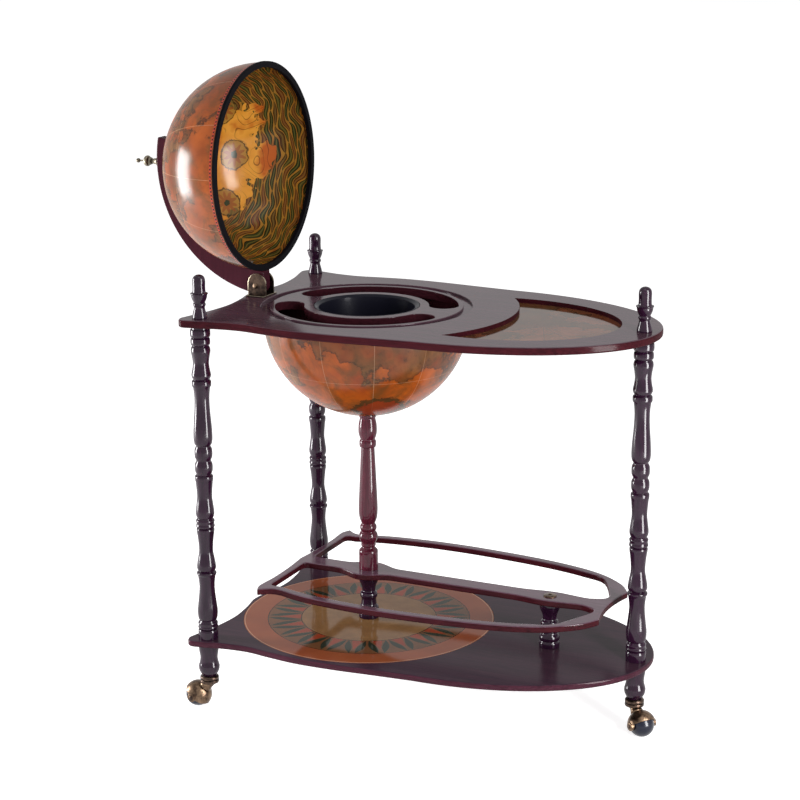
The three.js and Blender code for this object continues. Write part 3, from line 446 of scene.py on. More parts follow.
# Materials
def wood(place, dark, light, grain, coat, dullness=0.05):
    """Mahogany under dark glossy lacquer: reddish brown with fine streaks of grain along one way,
    and a clear coat that mirrors the softboxes."""
    material, add = new_material(f"lacquered_mahogany_{place}")
    spot = add("TexCoord", output="Object")
    streaks = add("Mapping", Vector=spot, Scale=grain)
    fine = add("TexNoise", Vector=streaks, Scale=1, Detail=5, Roughness=0.6, Distortion=0.4)
    broad = add("TexNoise", Vector=streaks, Scale=0.13, Detail=2)
    share = add("Math.MULTIPLY_ADD", broad, 0.5, fine)
    shade(
        add, Base_Color=add("ValToRGB", share, stops=[(0.5, dark), (0.95, light)]), Roughness=0.4,
        Specular_IOR_Level=0, IOR=1.5, Coat_Weight=coat, Coat_Roughness=dullness, Coat_IOR=1.5,
    )
    return material


# Grain about 3 mm wide and 60 mm long
along_x = (16, 330, 330)
along_z = (330, 330, 16)
top_wood = wood("top", "#46313b", "#583e49", along_x, 0.5, 0.13)
shelf_wood = wood("shelf", "#31222e", "#402936", along_x, 0.3, 0.2)
# The rail's top is lighter and more lilac than the table top, though it is the same mahogany: a
# painted sheen
rail_wood_painted_sheen = wood("rail", "#523744", "#664959", along_x, 0.75, 0.12)
edge_wood = wood("edge", "#2c0d14", "#46171f", along_x, 0.12, 0.15)
shelf_edge_wood = wood("shelf_edge", "#351723", "#4d2534", along_x, 0.2, 0.15)
turned_mahogany = wood("turned", "#1a0a1b", "#2c1228", along_z, 0.6, 0.11)
column_mahogany = wood("column", "#3a121f", "#561d2d", along_z, 0.55)
arm_mahogany = wood("arm", "#3b1722", "#451c28", along_z, 0.16, 0.12)
tray_mahogany = wood("tray", "#2a1218", "#431c25", along_x, 0.2)


def metal(name, bright, dark, roughness, patch):
    """Cast or turned metal whose darker patches lie in a noise of the given size."""
    material, add = new_material(name)
    spot = add("TexCoord", output="Object")
    tarnish = add("TexNoise", Vector=spot, Scale=1 / patch, Detail=4, Roughness=0.65)
    colour = add("ValToRGB", tarnish, stops=[(0.38, dark), (0.62, bright)])
    rough = add("Math.MULTIPLY_ADD", tarnish, 0.2, roughness - 0.1)
    shade(add, Metallic=1, Base_Color=colour, Roughness=rough)
    return material


# Zinc alloy plated with antique brass: brown gold, worn brighter on the proud places
antique_brass = metal("antique_brass", "#77624f", "#43352c", 0.32, 9 * mm)
# The same plating left darker on the hinge, almost bronze
bronze = metal("bronzed_brass", "#54443a", "#2e2623", 0.32, 9 * mm)
# Lighter brass on the rounded edges of the hinge strip: a painted highlight
painted_highlight_brass = metal("painted_highlight_brass", "#968b78", "#6b6153", 0.25, 9 * mm)
# Brass on the pole finial, gone dull and dark
dull_brass = metal("dulled_brass", "#7a7263", "#4a453b", 0.3, 12 * mm)
# Zinc plated steel screws, a plain grey
zinc_steel = metal("zinc_plated_steel", "#9c9c98", "#7c7c78", 0.4, 6 * mm)


def plastic(name, colour, roughness, coat, shine=0.12):
    """Moulded plastic: one even colour with a very slight unevenness in its gloss."""
    material, add = new_material(name)
    sink = add("TexNoise", Vector=add("TexCoord", output="Object"), Scale=1 / (14 * mm))
    rough = add("Math.MULTIPLY_ADD", sink, 0.1, roughness - 0.05)
    shade(
        add, Base_Color=linear(colour), IOR=1.5, Specular_IOR_Level=shine, Coat_Weight=coat,
        Coat_Roughness=0.1, Roughness=rough,
    )
    return material


# Injection moulded ABS, glossy black with a blue cast
bucket_plastic = plastic("moulded_abs_bucket", "#14141f", 0.36, 0.05, 0.05)
# Moulded nylon, a hard blue black with a dull shine
ball_plastic = plastic("moulded_nylon_ball", "#0d1024", 0.3, 0.45)
# Painted edge band, satin black
band_paint = plastic("satin_black_band", "#0d0c10", 0.6, 0, 0.02)


def shade_print(add, colour, coat, dullness, roughness=0.4):
    """Printed paper under a lacquer of the given weight and dullness."""
    shade(
        add, Base_Color=colour, Roughness=roughness, Specular_IOR_Level=0, Coat_Weight=coat,
        Coat_Roughness=dullness,
    )


def globe_directions(add, centre, turn):
    """Directions from the middle of a half globe with its pole on Z, as a unit vector."""
    size = 1 / globe_radius
    start = -(Matrix.Rotation(turn, 3, "Y") @ Vector(centre)) * size
    mapping = add(
        "Mapping", Vector=add("TexCoord", output="Object"), Location=start,
        Rotation=(0, turn, 0), Scale=(size, size, size),
    )
    return add("VectorMath.NORMALIZE", mapping)


def longitude_latitude(add, direction):
    """Longitude, latitude and the cosine of latitude of a unit vector."""
    x, y, z = add("SeparateXYZ", direction, output=None)
    latitude = add("Math.ARCSINE", z)
    return add("Math.ARCTAN2", y, x), latitude, add("Math.COSINE", latitude)


def meridians(add, direction, spacing, width):
    """A mask of thin lines through the pole of a direction, so many degrees apart."""
    longitude, _, shrink = longitude_latitude(add, direction)
    away = add("Math.PINGPONG", longitude, radians(spacing / 2))
    return add("Math.LESS_THAN", add("Math.MULTIPLY", away, shrink), width)


def map_colours(add, direction, sea, pale_sea, land, coast, seed):
    """An antique map: stained sea and land, parted by a dark ragged coast with a soft dark side."""
    lands, stains, hills, smudges = [
        add(
            "TexNoise", Vector=direction, W=seed + shift, Scale=scale, Detail=detail,
            Roughness=roughness, Distortion=warp, noise_dimensions="4D",
        )
        for shift, scale, detail, roughness, warp in (
            (0, 1.5, 8, 0.6, 0), (3, 2.6, 4, 0.5, 0), (7, 12, 6, 0.75, 0), (5, 4.2, 6, 0.65, 0.8),
        )
    ]
    sea_level = 0.52
    stain = add("MapRange", stains, 0.35, 0.65)
    on_land = add("Math.GREATER_THAN", lands, sea_level)
    colour = ink(add, ink(add, sea, pale_sea, stain), ink(add, land, sea, stain), on_land)
    colour = ink(add, colour, "#523a1c", add("MapRange", smudges, 0.45, 0.62, 0, 0.7))
    # Small engraved marks, denser on the land
    marks = add("MapRange", hills, 0.55, 0.68)
    colour = ink(add, colour, coast, marks, add("Math.MULTIPLY_ADD", on_land, 0.4, 0.15))
    shore = add("ValToRGB", lands, stops=[
        (0, "#000000"), (0.505, "#000000"), (0.519, "#c8c8c8"), (0.523, "#f0f0f0"),
        (0.531, "#9a9a9a"), (0.57, "#505050"), (0.62, "#000000"),
    ])
    return ink(add, colour, coast, shore)


def globe_print(name, centre, turn, seed, ring, sea, pale_sea, cartouche):
    """Lacquered paper gores with a printed map: warm orange, with thin pale lines of a grid."""
    material, add = new_material(name)
    direction = globe_directions(add, centre, turn)
    colour = map_colours(add, direction, sea, pale_sea, "#86552a", "#2c2012", seed)
    spacing = 30
    grid = meridians(add, direction, spacing, 0.0024)
    longitude, latitude, _ = longitude_latitude(add, direction)
    parallel = add("Math.PINGPONG", latitude, radians(spacing / 2))
    lines = add("Math.MAXIMUM", grid, add("Math.LESS_THAN", parallel, 0.002))
    rose = add("Mapping", Vector=direction, Rotation=(radians(52), radians(20), 0))
    rays = meridians(add, rose, 22.5, 0.0014)
    colour = ink(add, colour, "#dcae86", lines, 0.28)
    colour = ink(add, colour, "#5a2414", rays, 0.3)
    # A russet cartouche in a ragged wreath of dark leaves
    towards = add("VectorMath.DOT_PRODUCT", direction, cartouche, output="Value")
    ragged = add("TexNoise", Vector=direction, Scale=15, Detail=4, Roughness=0.7)
    near = add("Math.MULTIPLY_ADD", ragged, 0.045, towards)
    colour = ink(add, colour, "#7d2c16", add("Math.GREATER_THAN", near, 1.004), 0.8)
    colour = ink(add, colour, "#2c2a18", add("Math.COMPARE", near, 0.998, 0.007), 0.8)
    # The scale ring beside the rim: a dashed line between two thin red ones
    dash = add("Math.PINGPONG", longitude, radians(1))
    dashes = add("Math.LESS_THAN", dash, radians(0.5))
    inside = add("Math.COMPARE", latitude, ring, 0.007)
    dash_colour = ink(add, "#b0402a", "#1c0f10", dashes, inside)
    colour = ink(add, colour, dash_colour, add("Math.COMPARE", latitude, ring, 0.011))
    shade_print(add, colour, 0.52, 0.19)
    return material


# The lid's sea is darker than the bowl's, though both are one print: painted shade for the lid's
# less lit top
lid_print = globe_print(
    "printed_globe_lid", lid_middle, -lid_open, 5, 0.052, "#6f3313", "#a14f1c", (0.4, 0.76, 0.5),
)
bowl_print = globe_print(
    "printed_globe_bowl", bowl_centre, pi, 9, 0.055, "#803714", "#b05519",
    (-0.34, -0.45, 0.826),
)


def lid_inside_print():
    """Printed and lacquered lining: a gold ground with a compass star at the pole, and strands of
    narrow olive and green leaves that run round beside the rim."""
    material, add = new_material("printed_lid_lining")
    direction = globe_directions(add, lid_middle, -lid_open)
    longitude, latitude, shrink = longitude_latitude(add, direction)
    out = add("Math.MULTIPLY_ADD", latitude, -2 / pi, 1)
    clouds = add("TexNoise", Vector=direction, Scale=1.7, Detail=4, Roughness=0.55)
    wisps = add("TexNoise", Vector=direction, Scale=2.6, Detail=1.5, Roughness=0.4)
    colour = add("ValToRGB", clouds, stops=[
        (0.36, "#a9561f"), (0.46, "#c9832a"), (0.58, "#d9983a"), (0.66, "#b3591f"),
    ])
    # Strands about 8 mm apart, each a chain of twenty leaves
    strands = 31
    leaves = 20
    strand = add("Math.MULTIPLY_ADD", out, strands, add("Math.MULTIPLY", wisps, 7))
    number = add("Math.FLOOR", strand)
    aside = add("Math.ABSOLUTE", add("Math.SUBTRACT", add("Math.FRACT", strand), 0.5))
    shift = add("Math.MULTIPLY", number, 0.37)
    along = add("Math.FRACT", add("Math.MULTIPLY_ADD", longitude, leaves / 2 / pi, shift))
    bulge = add("Math.SINE", add("Math.MULTIPLY", along, pi))
    bulge = add("Math.POWER", bulge, 0.6)
    leaf, body, vein = [
        add("Math.LESS_THAN", aside, add("Math.MULTIPLY", bulge, width))
        for width in (0.47, 0.34, 0.1)
    ]
    kind = add("Math.FRACT", add("Math.MULTIPLY", number, 0.618))
    leaf_colour = add("ValToRGB", kind, stops=[
        (0, "#1f2a14"), (0.3, "#48431c"), (0.55, "#26351a"), (0.8, "#6b3c1c"),
    ])
    leaf_colour = ink(add, "#1d1a0f", leaf_colour, body)
    leaf_colour = ink(add, leaf_colour, "#8f7c3c", vein, 0.35)
    garland = add("Math.GREATER_THAN", out, add("Math.MULTIPLY_ADD", clouds, 0.9, 0.12))
    colour = ink(add, colour, "#5e4a20", garland, 0.6)
    colour = ink(add, colour, leaf_colour, leaf, garland)
    # Fine engraved lines that wander over the gold
    level = add("Math.FRACT", add("Math.MULTIPLY", wisps, 14))
    engraved = add("Math.LESS_THAN", level, 0.12)
    bare = add("Math.SUBTRACT", 1, garland)
    shaded = add("MapRange", clouds, 0.5, 0.6, 0, 0.7)
    colour = ink(add, colour, "#5e3416", engraved, bare, shaded)
    # Eight rosettes in a ring, each with ten petals
    rosettes = 8
    petals = 10
    rosette_size = 0.15
    ring_height = radians(48)
    apart = add("Math.FRACT", add("Math.MULTIPLY_ADD", longitude, rosettes / 2 / pi, 0.5))
    apart = add("Math.MULTIPLY_ADD", apart, 2 * pi / rosettes, -pi / rosettes)
    sideways = add("Math.MULTIPLY", apart, shrink)
    upwards = add("Math.SUBTRACT", latitude, ring_height)
    square = add("Math.MULTIPLY", upwards, upwards)
    size = add("Math.SQRT", add("Math.MULTIPLY_ADD", sideways, sideways, square))
    wobble = add("TexNoise", Vector=direction, Scale=16, Detail=3, Roughness=0.6)
    size = add("Math.MULTIPLY_ADD", wobble, 0.07, add("Math.SUBTRACT", size, 0.035))
    petal = add("Math.MULTIPLY", add("Math.ARCTAN2", upwards, sideways), petals)
    petal = add("Math.MULTIPLY_ADD", add("Math.COSINE", petal), 0.03, 0.095)
    colour = ink(add, colour, "#75602e", add("Math.LESS_THAN", size, rosette_size), 0.6)
    colour = ink(add, colour, "#8a4a22", add("Math.LESS_THAN", size, petal), 0.8)
    colour = ink(add, colour, "#33361d", add("Math.LESS_THAN", size, 0.035))
    rim = add("Math.COMPARE", size, rosette_size, 0.007)
    colour = ink(add, colour, "#33250f", rim, 0.85)
    # The star at the pole: sixteen points of two lengths
    point = radians(22.5)
    aside = add("Math.PINGPONG", longitude, point)
    star = add("Math.LESS_THAN", out, add("Math.MULTIPLY_ADD", aside, -0.5, 0.2))
    in_star = add("Math.LESS_THAN", add("Math.PINGPONG", longitude, 2 * point), point)
    colour = ink(add, colour, ink(add, "#8a6a2c", "#5e2a14", in_star), star)
    colour = ink(add, colour, "#4a2a14", add("Math.GREATER_THAN", out, 0.98), 0.8)
    shade_print(add, colour, 0.35, 0.16)
    return material


def flat_directions(add, centre, size):
    """A spot on a flat print, from its centre in shares of its size, its distance and its angle."""
    scale = 1 / size
    spot = add(
        "Mapping", Vector=add("TexCoord", output="Object"),
        Location=(-centre[0] * scale, -centre[1] * scale, 0), Scale=(scale, scale, 0),
    )
    x, y, _ = add("SeparateXYZ", spot, output=None)
    return spot, add("VectorMath.LENGTH", spot, output="Value"), add("Math.ARCTAN2", y, x)


def disc_print():
    """Printed paper under lacquer: a plain russet border, a ring of leaves and a tan middle."""
    material, add = new_material("printed_shelf_disc")
    spot, distance, angle = flat_directions(add, globe_axis, disc_radius)
    stains = add("TexNoise", Vector=spot, Scale=2.6, Detail=5)
    smudges = add("TexNoise", Vector=spot, Scale=6, Detail=4, Roughness=0.6)
    colour = ink(add, "#7d3b25", "#9b5836", stains)
    # The ring: pairs of dark leaves that lean to each other, and russet wedges between them
    pairs = 22
    half_step = pi / pairs
    ring_start = 0.54
    ring_width = 0.26
    in_ring = add("Math.COMPARE", distance, ring_start + ring_width / 2, ring_width / 2)
    colour = ink(add, colour, ink(add, "#453a24", "#7d5236", smudges), in_ring, 0.85)
    across = add("Math.PINGPONG", angle, half_step)
    height = add("Math.SUBTRACT", distance, ring_start)
    lean = add("Math.MULTIPLY_ADD", height, 0.36, 0.02)
    bulge = add("Math.SINE", add("Math.MULTIPLY", height, pi / ring_width))
    aside = add("Math.ABSOLUTE", add("Math.SUBTRACT", across, lean))
    leaf = add("Math.LESS_THAN", aside, add("Math.MULTIPLY", bulge, 0.042))
    colour = ink(add, colour, "#2b3024", leaf, in_ring)
    aside = add("Math.SUBTRACT", half_step, across)
    wedge = add("Math.LESS_THAN", aside, add("Math.MULTIPLY_ADD", distance, -0.4, 0.29))
    colour = ink(add, colour, "#8e3a22", wedge, in_ring)
    middle = add("Math.LESS_THAN", distance, ring_start)
    colour = ink(add, colour, ink(add, "#66462c", "#987248", smudges), middle)
    for line, line_colour in ((ring_start, "#3a2414"), (0.805, "#3a2414"), (0.99, "#b58468")):
        colour = ink(add, colour, line_colour, add("Math.COMPARE", distance, line, 0.004))
    shade_print(add, colour, 0.42, 0.08, 0.35)
    return material


def panel_print():
    """The same printed paper on the table's panel: a map in russet and brown with thin rays."""
    material, add = new_material("printed_table_panel")
    spot, distance, angle = flat_directions(add, (0.26, 0), 0.17)
    colour = map_colours(add, spot, "#6b3a26", "#8a5238", "#6a4c30", "#3a2a1c", 2)
    away = add("Math.PINGPONG", angle, radians(11.25))
    rays = add("Math.LESS_THAN", add("Math.MULTIPLY", away, distance), 0.006)
    colour = ink(add, colour, "#4a2417", rays, 0.4)
    shade_print(add, colour, 0.6, 0.08, 0.36)
    return material


disc_radius = 206 * mm
lid_lining = lid_inside_print()
shelf_print = disc_print()
table_print = panel_print()

# The outline that the table and the shelf share, from the globe's axis
ear_reach = 223 * mm
ear_half_width = 218 * mm
round_end_start = 170 * mm
round_end_length = 315 * mm
round_end_half_width = 203 * mm
ear_outline_shares = [
    (-0.962, 0), (-0.928, -0.2), (-0.908, -0.42), (-0.935, -0.66), (-0.985, -0.86),
    (-0.998, -0.94), (-0.955, -1), (-0.86, -0.99), (-0.7, -0.952), (-0.52, -0.938),
    (-0.34, -0.965), (-0.12, -0.99), (0.16, -0.985), (0.46, -0.958),
]


def teardrop():
    ears = [(x * ear_reach, y * ear_half_width) for x, y in ear_outline_shares]
    steps = 8
    across = (ears[1][0], -ears[1][1])
    side = smoothed([across, *ears, (round_end_start, -round_end_half_width)], steps)[steps:]
    round_end = arc(
        (round_end_start, 0), (round_end_length, round_end_half_width), -90, 0, 24,
    )
    return mirrored([*side, *round_end[1:]])


def crescent(margin):
    """The opening beside the globe: an arc round the globe and half an ellipse."""
    inner = 242 * mm - margin
    centre_x = 227 * mm
    a = 193.5 * mm + margin
    b = 147 * mm + margin
    p = 1 / a ** 2 - 1 / b ** 2
    q = -2 * centre_x / a ** 2
    r = centre_x ** 2 / a ** 2 + inner ** 2 / b ** 2 - 1
    corner_x = (-q - sqrt(q ** 2 - 4 * p * r)) / (2 * p)
    corner_y = sqrt(inner ** 2 - corner_x ** 2)
    arc_end = degrees(atan2(corner_y, corner_x))
    ellipse_end = degrees(atan2(corner_y / b, (corner_x - centre_x) / a))
    outer = arc((centre_x, 0), (a, b), -ellipse_end, ellipse_end, 48)
    return [*outer, *arc((0, 0), inner, arc_end, -arc_end, 24)[1:-1]]


def from_axis(face):
    """How far a face lies from the globe's upright axis."""
    return (face.center.xy - globe_axis).length


def table_edge(face):
    """Tells the table's outer edge and the crescent's from the rebate and the level faces."""
    return abs(face.normal.z) < level_rise and from_axis(face) > 172 * mm


def make_boards():
    edge_round = 2.6 * mm
    table = board("table_board", [teardrop()], table_bottom, table_top)
    ease(table, edge_round, 4)
    cut(table, board("window_tool", [crescent(0)], table_bottom - overrun, table_top + overrun))
    hole = 150.5 * mm
    rebate = 167.8 * mm
    rebate_lip = 0.7 * mm
    cut(table, turned("rebate_tool", [
        (0, table_bottom - overrun), (hole, table_bottom - overrun), (hole, ledge_z),
        (rebate, ledge_z), (rebate, table_top - rebate_lip), (rebate + rebate_lip, table_top),
        (rebate + rebate_lip, table_top + overrun), (0, table_top + overrun),
    ], globe_steps))
    clean(table)
    finish(
        table, to_axis, "frame", "table_top", "mahogany", top_wood, edge_wood,
        second=lambda face: face.normal.z < -level_rise or table_edge(face),
    )

    panel_margin = 5.6 * mm
    panel_top = heights("table_map_panel")[1]
    panel = board("table_panel", [crescent(panel_margin)], table_bottom, panel_top)
    finish(panel, to_axis, "frame", "table_map_panel", "map_print", table_print, edge_wood)

    shelf = board("shelf_board", [teardrop()], shelf_bottom, shelf_top)
    ease(shelf, edge_round, 4)
    recess_radius = disc_radius + 0.3 * mm
    recess_floor = shelf_top - 1.2 * mm
    cut(shelf, plug(
        "recess_tool", recess_radius, recess_floor, shelf_top + overrun, globe_steps,
    ))
    clean(shelf)
    finish(shelf, to_axis, "frame", "lower_shelf", "mahogany", shelf_wood, shelf_edge_wood)

    disc_bottom = shelf_top - 0.9 * mm
    disc_round = 0.2 * mm
    disc = turned("shelf_disc", [
        (0, disc_bottom), (disc_radius, disc_bottom), (disc_radius, shelf_top - disc_round),
        (disc_radius - disc_round, shelf_top), (0, shelf_top),
    ], globe_steps)
    finish(disc, to_axis, "frame", "shelf_map_disc", "map_print", shelf_print)


make_boards()

# The bottle rail, from the globe's axis
rail_left = -124 * mm
rail_right = 424 * mm
rail_half_width = 175 * mm
rail_band = 15 * mm
spine_half_width = 17 * mm
rail_post_x = 318 * mm
rail_edge_shares = [
    (-0.94, -0.955), (-0.74, -0.87), (-0.32, -0.945), (0.07, -0.99), (0.22, -1),
    (0.36, -0.985), (0.52, -0.95), (0.655, -0.9), (0.775, -0.825), (0.87, -0.72),
    (0.955, -0.555), (1, -0.385),
]
rail_left_shares = [(-1.02, 0), (-0.985, -0.3), (-0.98, -0.6), (-1, -0.84)]
# The openings end at a tip near the right end
opening_tip_shares = (0.945, -0.27)
rail_steps = 4


def rail_spot(share):
    x, y = share
    return (-x * rail_left if x < 0 else x * rail_right, y * rail_half_width)


def swelling(x, centre, half_width, reach):
    """How much the spine widens where a post stands under it."""
    share = min(1, abs(x - centre) / reach)
    return (half_width - spine_half_width) * (1 + cos(pi * share)) / 2


def rail_opening():
    tip = rail_spot(opening_tip_shares)
    edge = [rail_spot(share) for share in rail_edge_shares[1:] if share[0] < opening_tip_shares[0]]
    edge = [(x, y + rail_band) for x, y in edge]
    corner = 8 * mm
    left = rail_left + rail_band + corner
    column_reach = 50 * mm
    post_reach = 60 * mm
    start = rail_post_x + post_reach
    steps = 110
    inner = []
    for step in range(steps):
        x = start - step / steps * (start - left)
        at_column = swelling(x, 0, 34 * mm, column_reach)
        at_post = swelling(x, rail_post_x, 23 * mm, post_reach)
        inner.append((x, -spine_half_width - at_column - at_post))
    hook = smoothed([
        tip, (rail_post_x + 85 * mm, -37 * mm), (rail_post_x + 80 * mm, -25 * mm), inner[0],
    ], rail_steps)
    return [
        *arc((left, edge[0][1] + corner), corner, 180, 270, 6),
        *smoothed([*edge, tip], rail_steps)[:-1],
        *hook[:-1],
        *inner,
        *arc((left, -spine_half_width - corner), corner, 90, 180, 6),
    ]


def make_rail():
    front_edge = [rail_spot(share) for share in rail_edge_shares]
    left_edge = [*(rail_spot(share) for share in rail_left_shares), front_edge[0]]
    corner_x, corner_y = front_edge[-1]
    # How far the right end curves in
    hollow = 9 * mm
    steps = 8
    end = []
    for step in range(1, steps + 1):
        t = step / steps
        x = corner_x - hollow * (2 * t * (1 - t) + t * t)
        y = corner_y * ((1 - t) ** 2 + t * (1 - t))
        end.append((x, y))
    outline = mirrored([
        *smoothed(left_edge, rail_steps)[:-1], *smoothed(front_edge, rail_steps), *end,
    ])
    front = rail_opening()
    rail = board("rail_frame", [outline, front, other_side(front)], rail_bottom, rail_top)
    ease(rail, 2 * mm)
    # The rail's top faces take the lighter wood with its painted sheen
    finish(rail, to_axis, "frame", "bottle_rail", "mahogany", rail_wood_painted_sheen, edge_wood)


make_rail()

# Turned wood: (height, radius) from the bottom up, in thousandths of the whole height and radius
leg_rows = [
    (0, 970), (28, 980), (31, 840), (37, 990), (45, 940), (53, 970), (61, 800), (68, 940),
    (93, 1000), (120, 900), (169, 755), (205, 860), (212, 960), (218, 960), (222, 770),
    (228, 900), (239, 945), (262, 830), (290, 690), (330, 775), (357, 890), (362, 780),
    (368, 930), (378, 870), (387, 920), (394, 770), (400, 860), (413, 925), (436, 840),
    (466, 740), (510, 840), (516, 885), (530, 885), (534, 730), (545, 850), (556, 880),
    (569, 850), (579, 715), (590, 850), (602, 880), (615, 850), (626, 715), (634, 860),
    (653, 930), (690, 880), (735, 765), (778, 730), (810, 830), (815, 930), (830, 930),
    (834, 780), (841, 890), (850, 950), (866, 850), (885, 780), (906, 850), (924, 950),
    (935, 890), (941, 770), (945, 930), (961, 930), (966, 790), (970, 965), (989, 965),
    (992, 830), (1000, 820),
]
finial_rows = [
    (0, 860), (34, 860), (100, 790), (190, 670), (233, 620), (274, 640), (298, 720), (336, 720),
    (356, 640), (394, 720), (445, 830), (497, 900), (541, 930), (556, 990), (575, 1000),
    (584, 840), (610, 750), (720, 720), (820, 735), (880, 720), (925, 660), (960, 530),
    (986, 330), (1000, 50),
]
foot_rows = [
    (0, 640), (30, 700), (90, 840), (170, 950), (260, 1000), (330, 990), (430, 900), (520, 850),
    (600, 840), (700, 880), (800, 930), (900, 960), (1000, 960),
]
post_rows = [
    (0, 980), (20, 1000), (100, 1000), (125, 930), (145, 890), (160, 950), (200, 1000),
    (250, 970), (290, 840), (310, 780), (380, 750), (450, 740), (475, 820), (500, 870),
    (570, 850), (600, 750), (620, 670), (660, 670), (740, 730), (840, 910), (900, 980),
    (930, 1000), (980, 1000), (1000, 970),
]
column_rows = [
    (0, 960), (10, 980), (110, 980), (125, 900), (140, 680), (147, 680), (152, 760), (172, 750),
    (188, 880), (210, 980), (232, 900), (242, 750), (248, 760), (262, 860), (280, 840),
    (292, 710), (300, 720), (330, 900), (370, 980), (430, 970), (600, 840), (770, 700),
    (783, 700), (787, 820), (800, 860), (822, 850), (833, 750), (850, 840), (880, 950),
    (930, 920), (968, 790), (975, 860), (1000, 860),
]


def make_turned_work():
    kinds = [
        ("leg", leg_rows, 16.2 * mm),
        ("finial", finial_rows, 13.6 * mm),
        ("foot", foot_rows, 16.8 * mm),
    ]
    for kind, rows, radius in kinds:
        pattern = turned_work(f"turned_{kind}", rows, radius, *heights(f"{kind}_left_front"))
        for station in stations:
            piece = new_object(f"turned_{kind}_{station}", pattern.data.copy())
            spot = move_to(f"dowel_screw_lower_{station}")
            finish(piece, spot, "frame", f"{kind}_{station}", "mahogany", turned_mahogany)
        bpy.data.objects.remove(pattern)
    for name in ("centre", "right"):
        node = f"rail_post_{name}"
        post = turned_work(f"turned_post_{name}", post_rows, 16.3 * mm, *heights(node))
        spot = move_to(f"shelf_screw_{name}")
        finish(post, spot, "frame", node, "mahogany", turned_mahogany)
    column_height = heights("globe_column")
    column = turned_work("turned_column", column_rows, 15.8 * mm, *column_height, 40)
    finish(column, to_axis, "frame", "globe_column", "red_mahogany", column_mahogany)


make_turned_work()


def half_globe(name, lip, rim=0):
    """Half a globe of the wall's thickness, pole up, with a straight lip or from a rim's height."""
    rings = 24
    outer_rim, inner_rim = [degrees(asin(rim / r)) for r in (globe_radius, globe_inside)]
    outer_top, inner_top = [
        degrees(acos(pole_flat / r)) for r in (globe_radius, globe_inside)
    ]
    outer = arc((0, 0), globe_radius, outer_rim, outer_top, rings)
    inner = arc((0, 0), globe_inside, inner_top, inner_rim, rings)
    start = [(globe_inside, -lip), (globe_radius, -lip)] if lip else []
    top = [(0, outer[-1][1]), (0, inner[0][1])]
    first = start[0] if start else outer[0]
    return turned(name, [*start, *outer, *top, *inner, first], globe_steps)


def make_globe():
    bowl = half_globe("bowl_shell", 3.7 * mm)
    bowl_place = Matrix.Translation(bowl_centre) @ Matrix.Rotation(pi, 4, "X")
    finish(
        bowl, bowl_place, "frame", "globe_bowl", "globe_print", bowl_print, tray_mahogany,
        second=looks_towards(bowl_centre),
    )

    shell = half_globe("lid_dome", 0, 1.7 * mm)
    finish(
        shell, lid_place, "lid", "lid_shell", "globe_print", lid_print, lid_lining,
        second=looks_towards(lid_middle),
    )

    skirt_outside = globe_radius + 1.5 * mm
    skirt_inside = globe_radius + 0.3 * mm
    skirt_top = 4.5 * mm
    band_outside = globe_inside - 1.9 * mm
    band_inside = band_outside - 2.4 * mm
    band_top = 7 * mm
    rim_top = 1.4 * mm
    soft = 0.5 * mm
    band = turned("rim_band", [
        (band_inside, soft), (band_inside + soft, 0), (skirt_outside - soft, 0),
        (skirt_outside, soft), (skirt_outside, skirt_top - 0.4 * mm),
        (skirt_outside - soft, skirt_top), (skirt_inside, skirt_top), (skirt_inside, rim_top),
        (band_outside, rim_top), (band_outside, band_top), (band_inside + soft, band_top),
        (band_inside, band_top - soft), (band_inside, soft),
    ], globe_steps)
    finish(band, lid_place, "lid", "lid_rim_band", "rim_black", band_paint)


make_globe()


def make_tray():
    """The tray with its two C-shaped slots, and the ice bucket in its middle."""
    bottom, top = heights("bottle_tray")
    body = 149.8 * mm
    lip = 153.6 * mm
    outer = body - 4 * mm
    inner = 99 * mm
    bucket_hole = 78.7 * mm
    rim_seat = 84.7 * mm
    seat_floor = top - 2.5 * mm
    middle = (outer + inner) / 2
    cap = (outer - inner) / 2
    # Degrees from the slots' round ends to the line between them
    gap = 11 + degrees(cap / middle)
    right_end = (middle * cos(radians(gap)), -middle * sin(radians(gap)))
    left_end = (-right_end[0], right_end[1])
    slot = [
        *arc((0, 0), outer, -180 + gap, -gap, 40),
        *arc(right_end, cap, -gap, 180 - gap, 14)[1:],
        *arc((0, 0), inner, -gap, -180 + gap, 40)[1:],
        *arc(left_end, cap, gap, 180 + gap, 14)[1:-1],
    ]
    loops = [circle(lip), slot, other_side(slot), circle(bucket_hole)]
    tray = board("slotted_tray", loops, bottom, top)
    ease(tray, 0.9 * mm)
    under = bottom - overrun
    lip_bottom = ledge_z + 0.3 * mm
    cut(tray, turned("lip_tool", [
        (body, under), (lip + overrun, under), (lip + overrun, lip_bottom), (body, lip_bottom),
        (body, under),
    ], globe_steps))
    cut(tray, plug("rim_seat_tool", rim_seat, seat_floor, top + overrun, globe_steps))
    clean(tray)
    finish(
        tray, to_axis, "frame", "bottle_tray", "mahogany", top_wood, tray_mahogany,
        second=lambda face: below_level(face) and from_axis(face) < body - 1.8 * mm,
    )

    base, top = heights("ice_bucket")
    bucket = turned("ice_bucket_shell", [
        *measured([(0, 0), (61, 0), (62.6, 0.6), (63.2, 2)], base),
        *measured([
            (78, -2.5), (83.4, -2.5), (84, -1.9), (84, -0.8), (83.4, 0), (82.6, 0), (82, -0.5),
            (78.4, -2), (76.6, -3.4),
        ], top),
        *measured([(61, 3.2), (59, 2), (0, 2)], base),
    ], globe_steps)
    finish(bucket, to_axis, "bucket", "ice_bucket", "bucket_black", bucket_plastic)


make_tray()


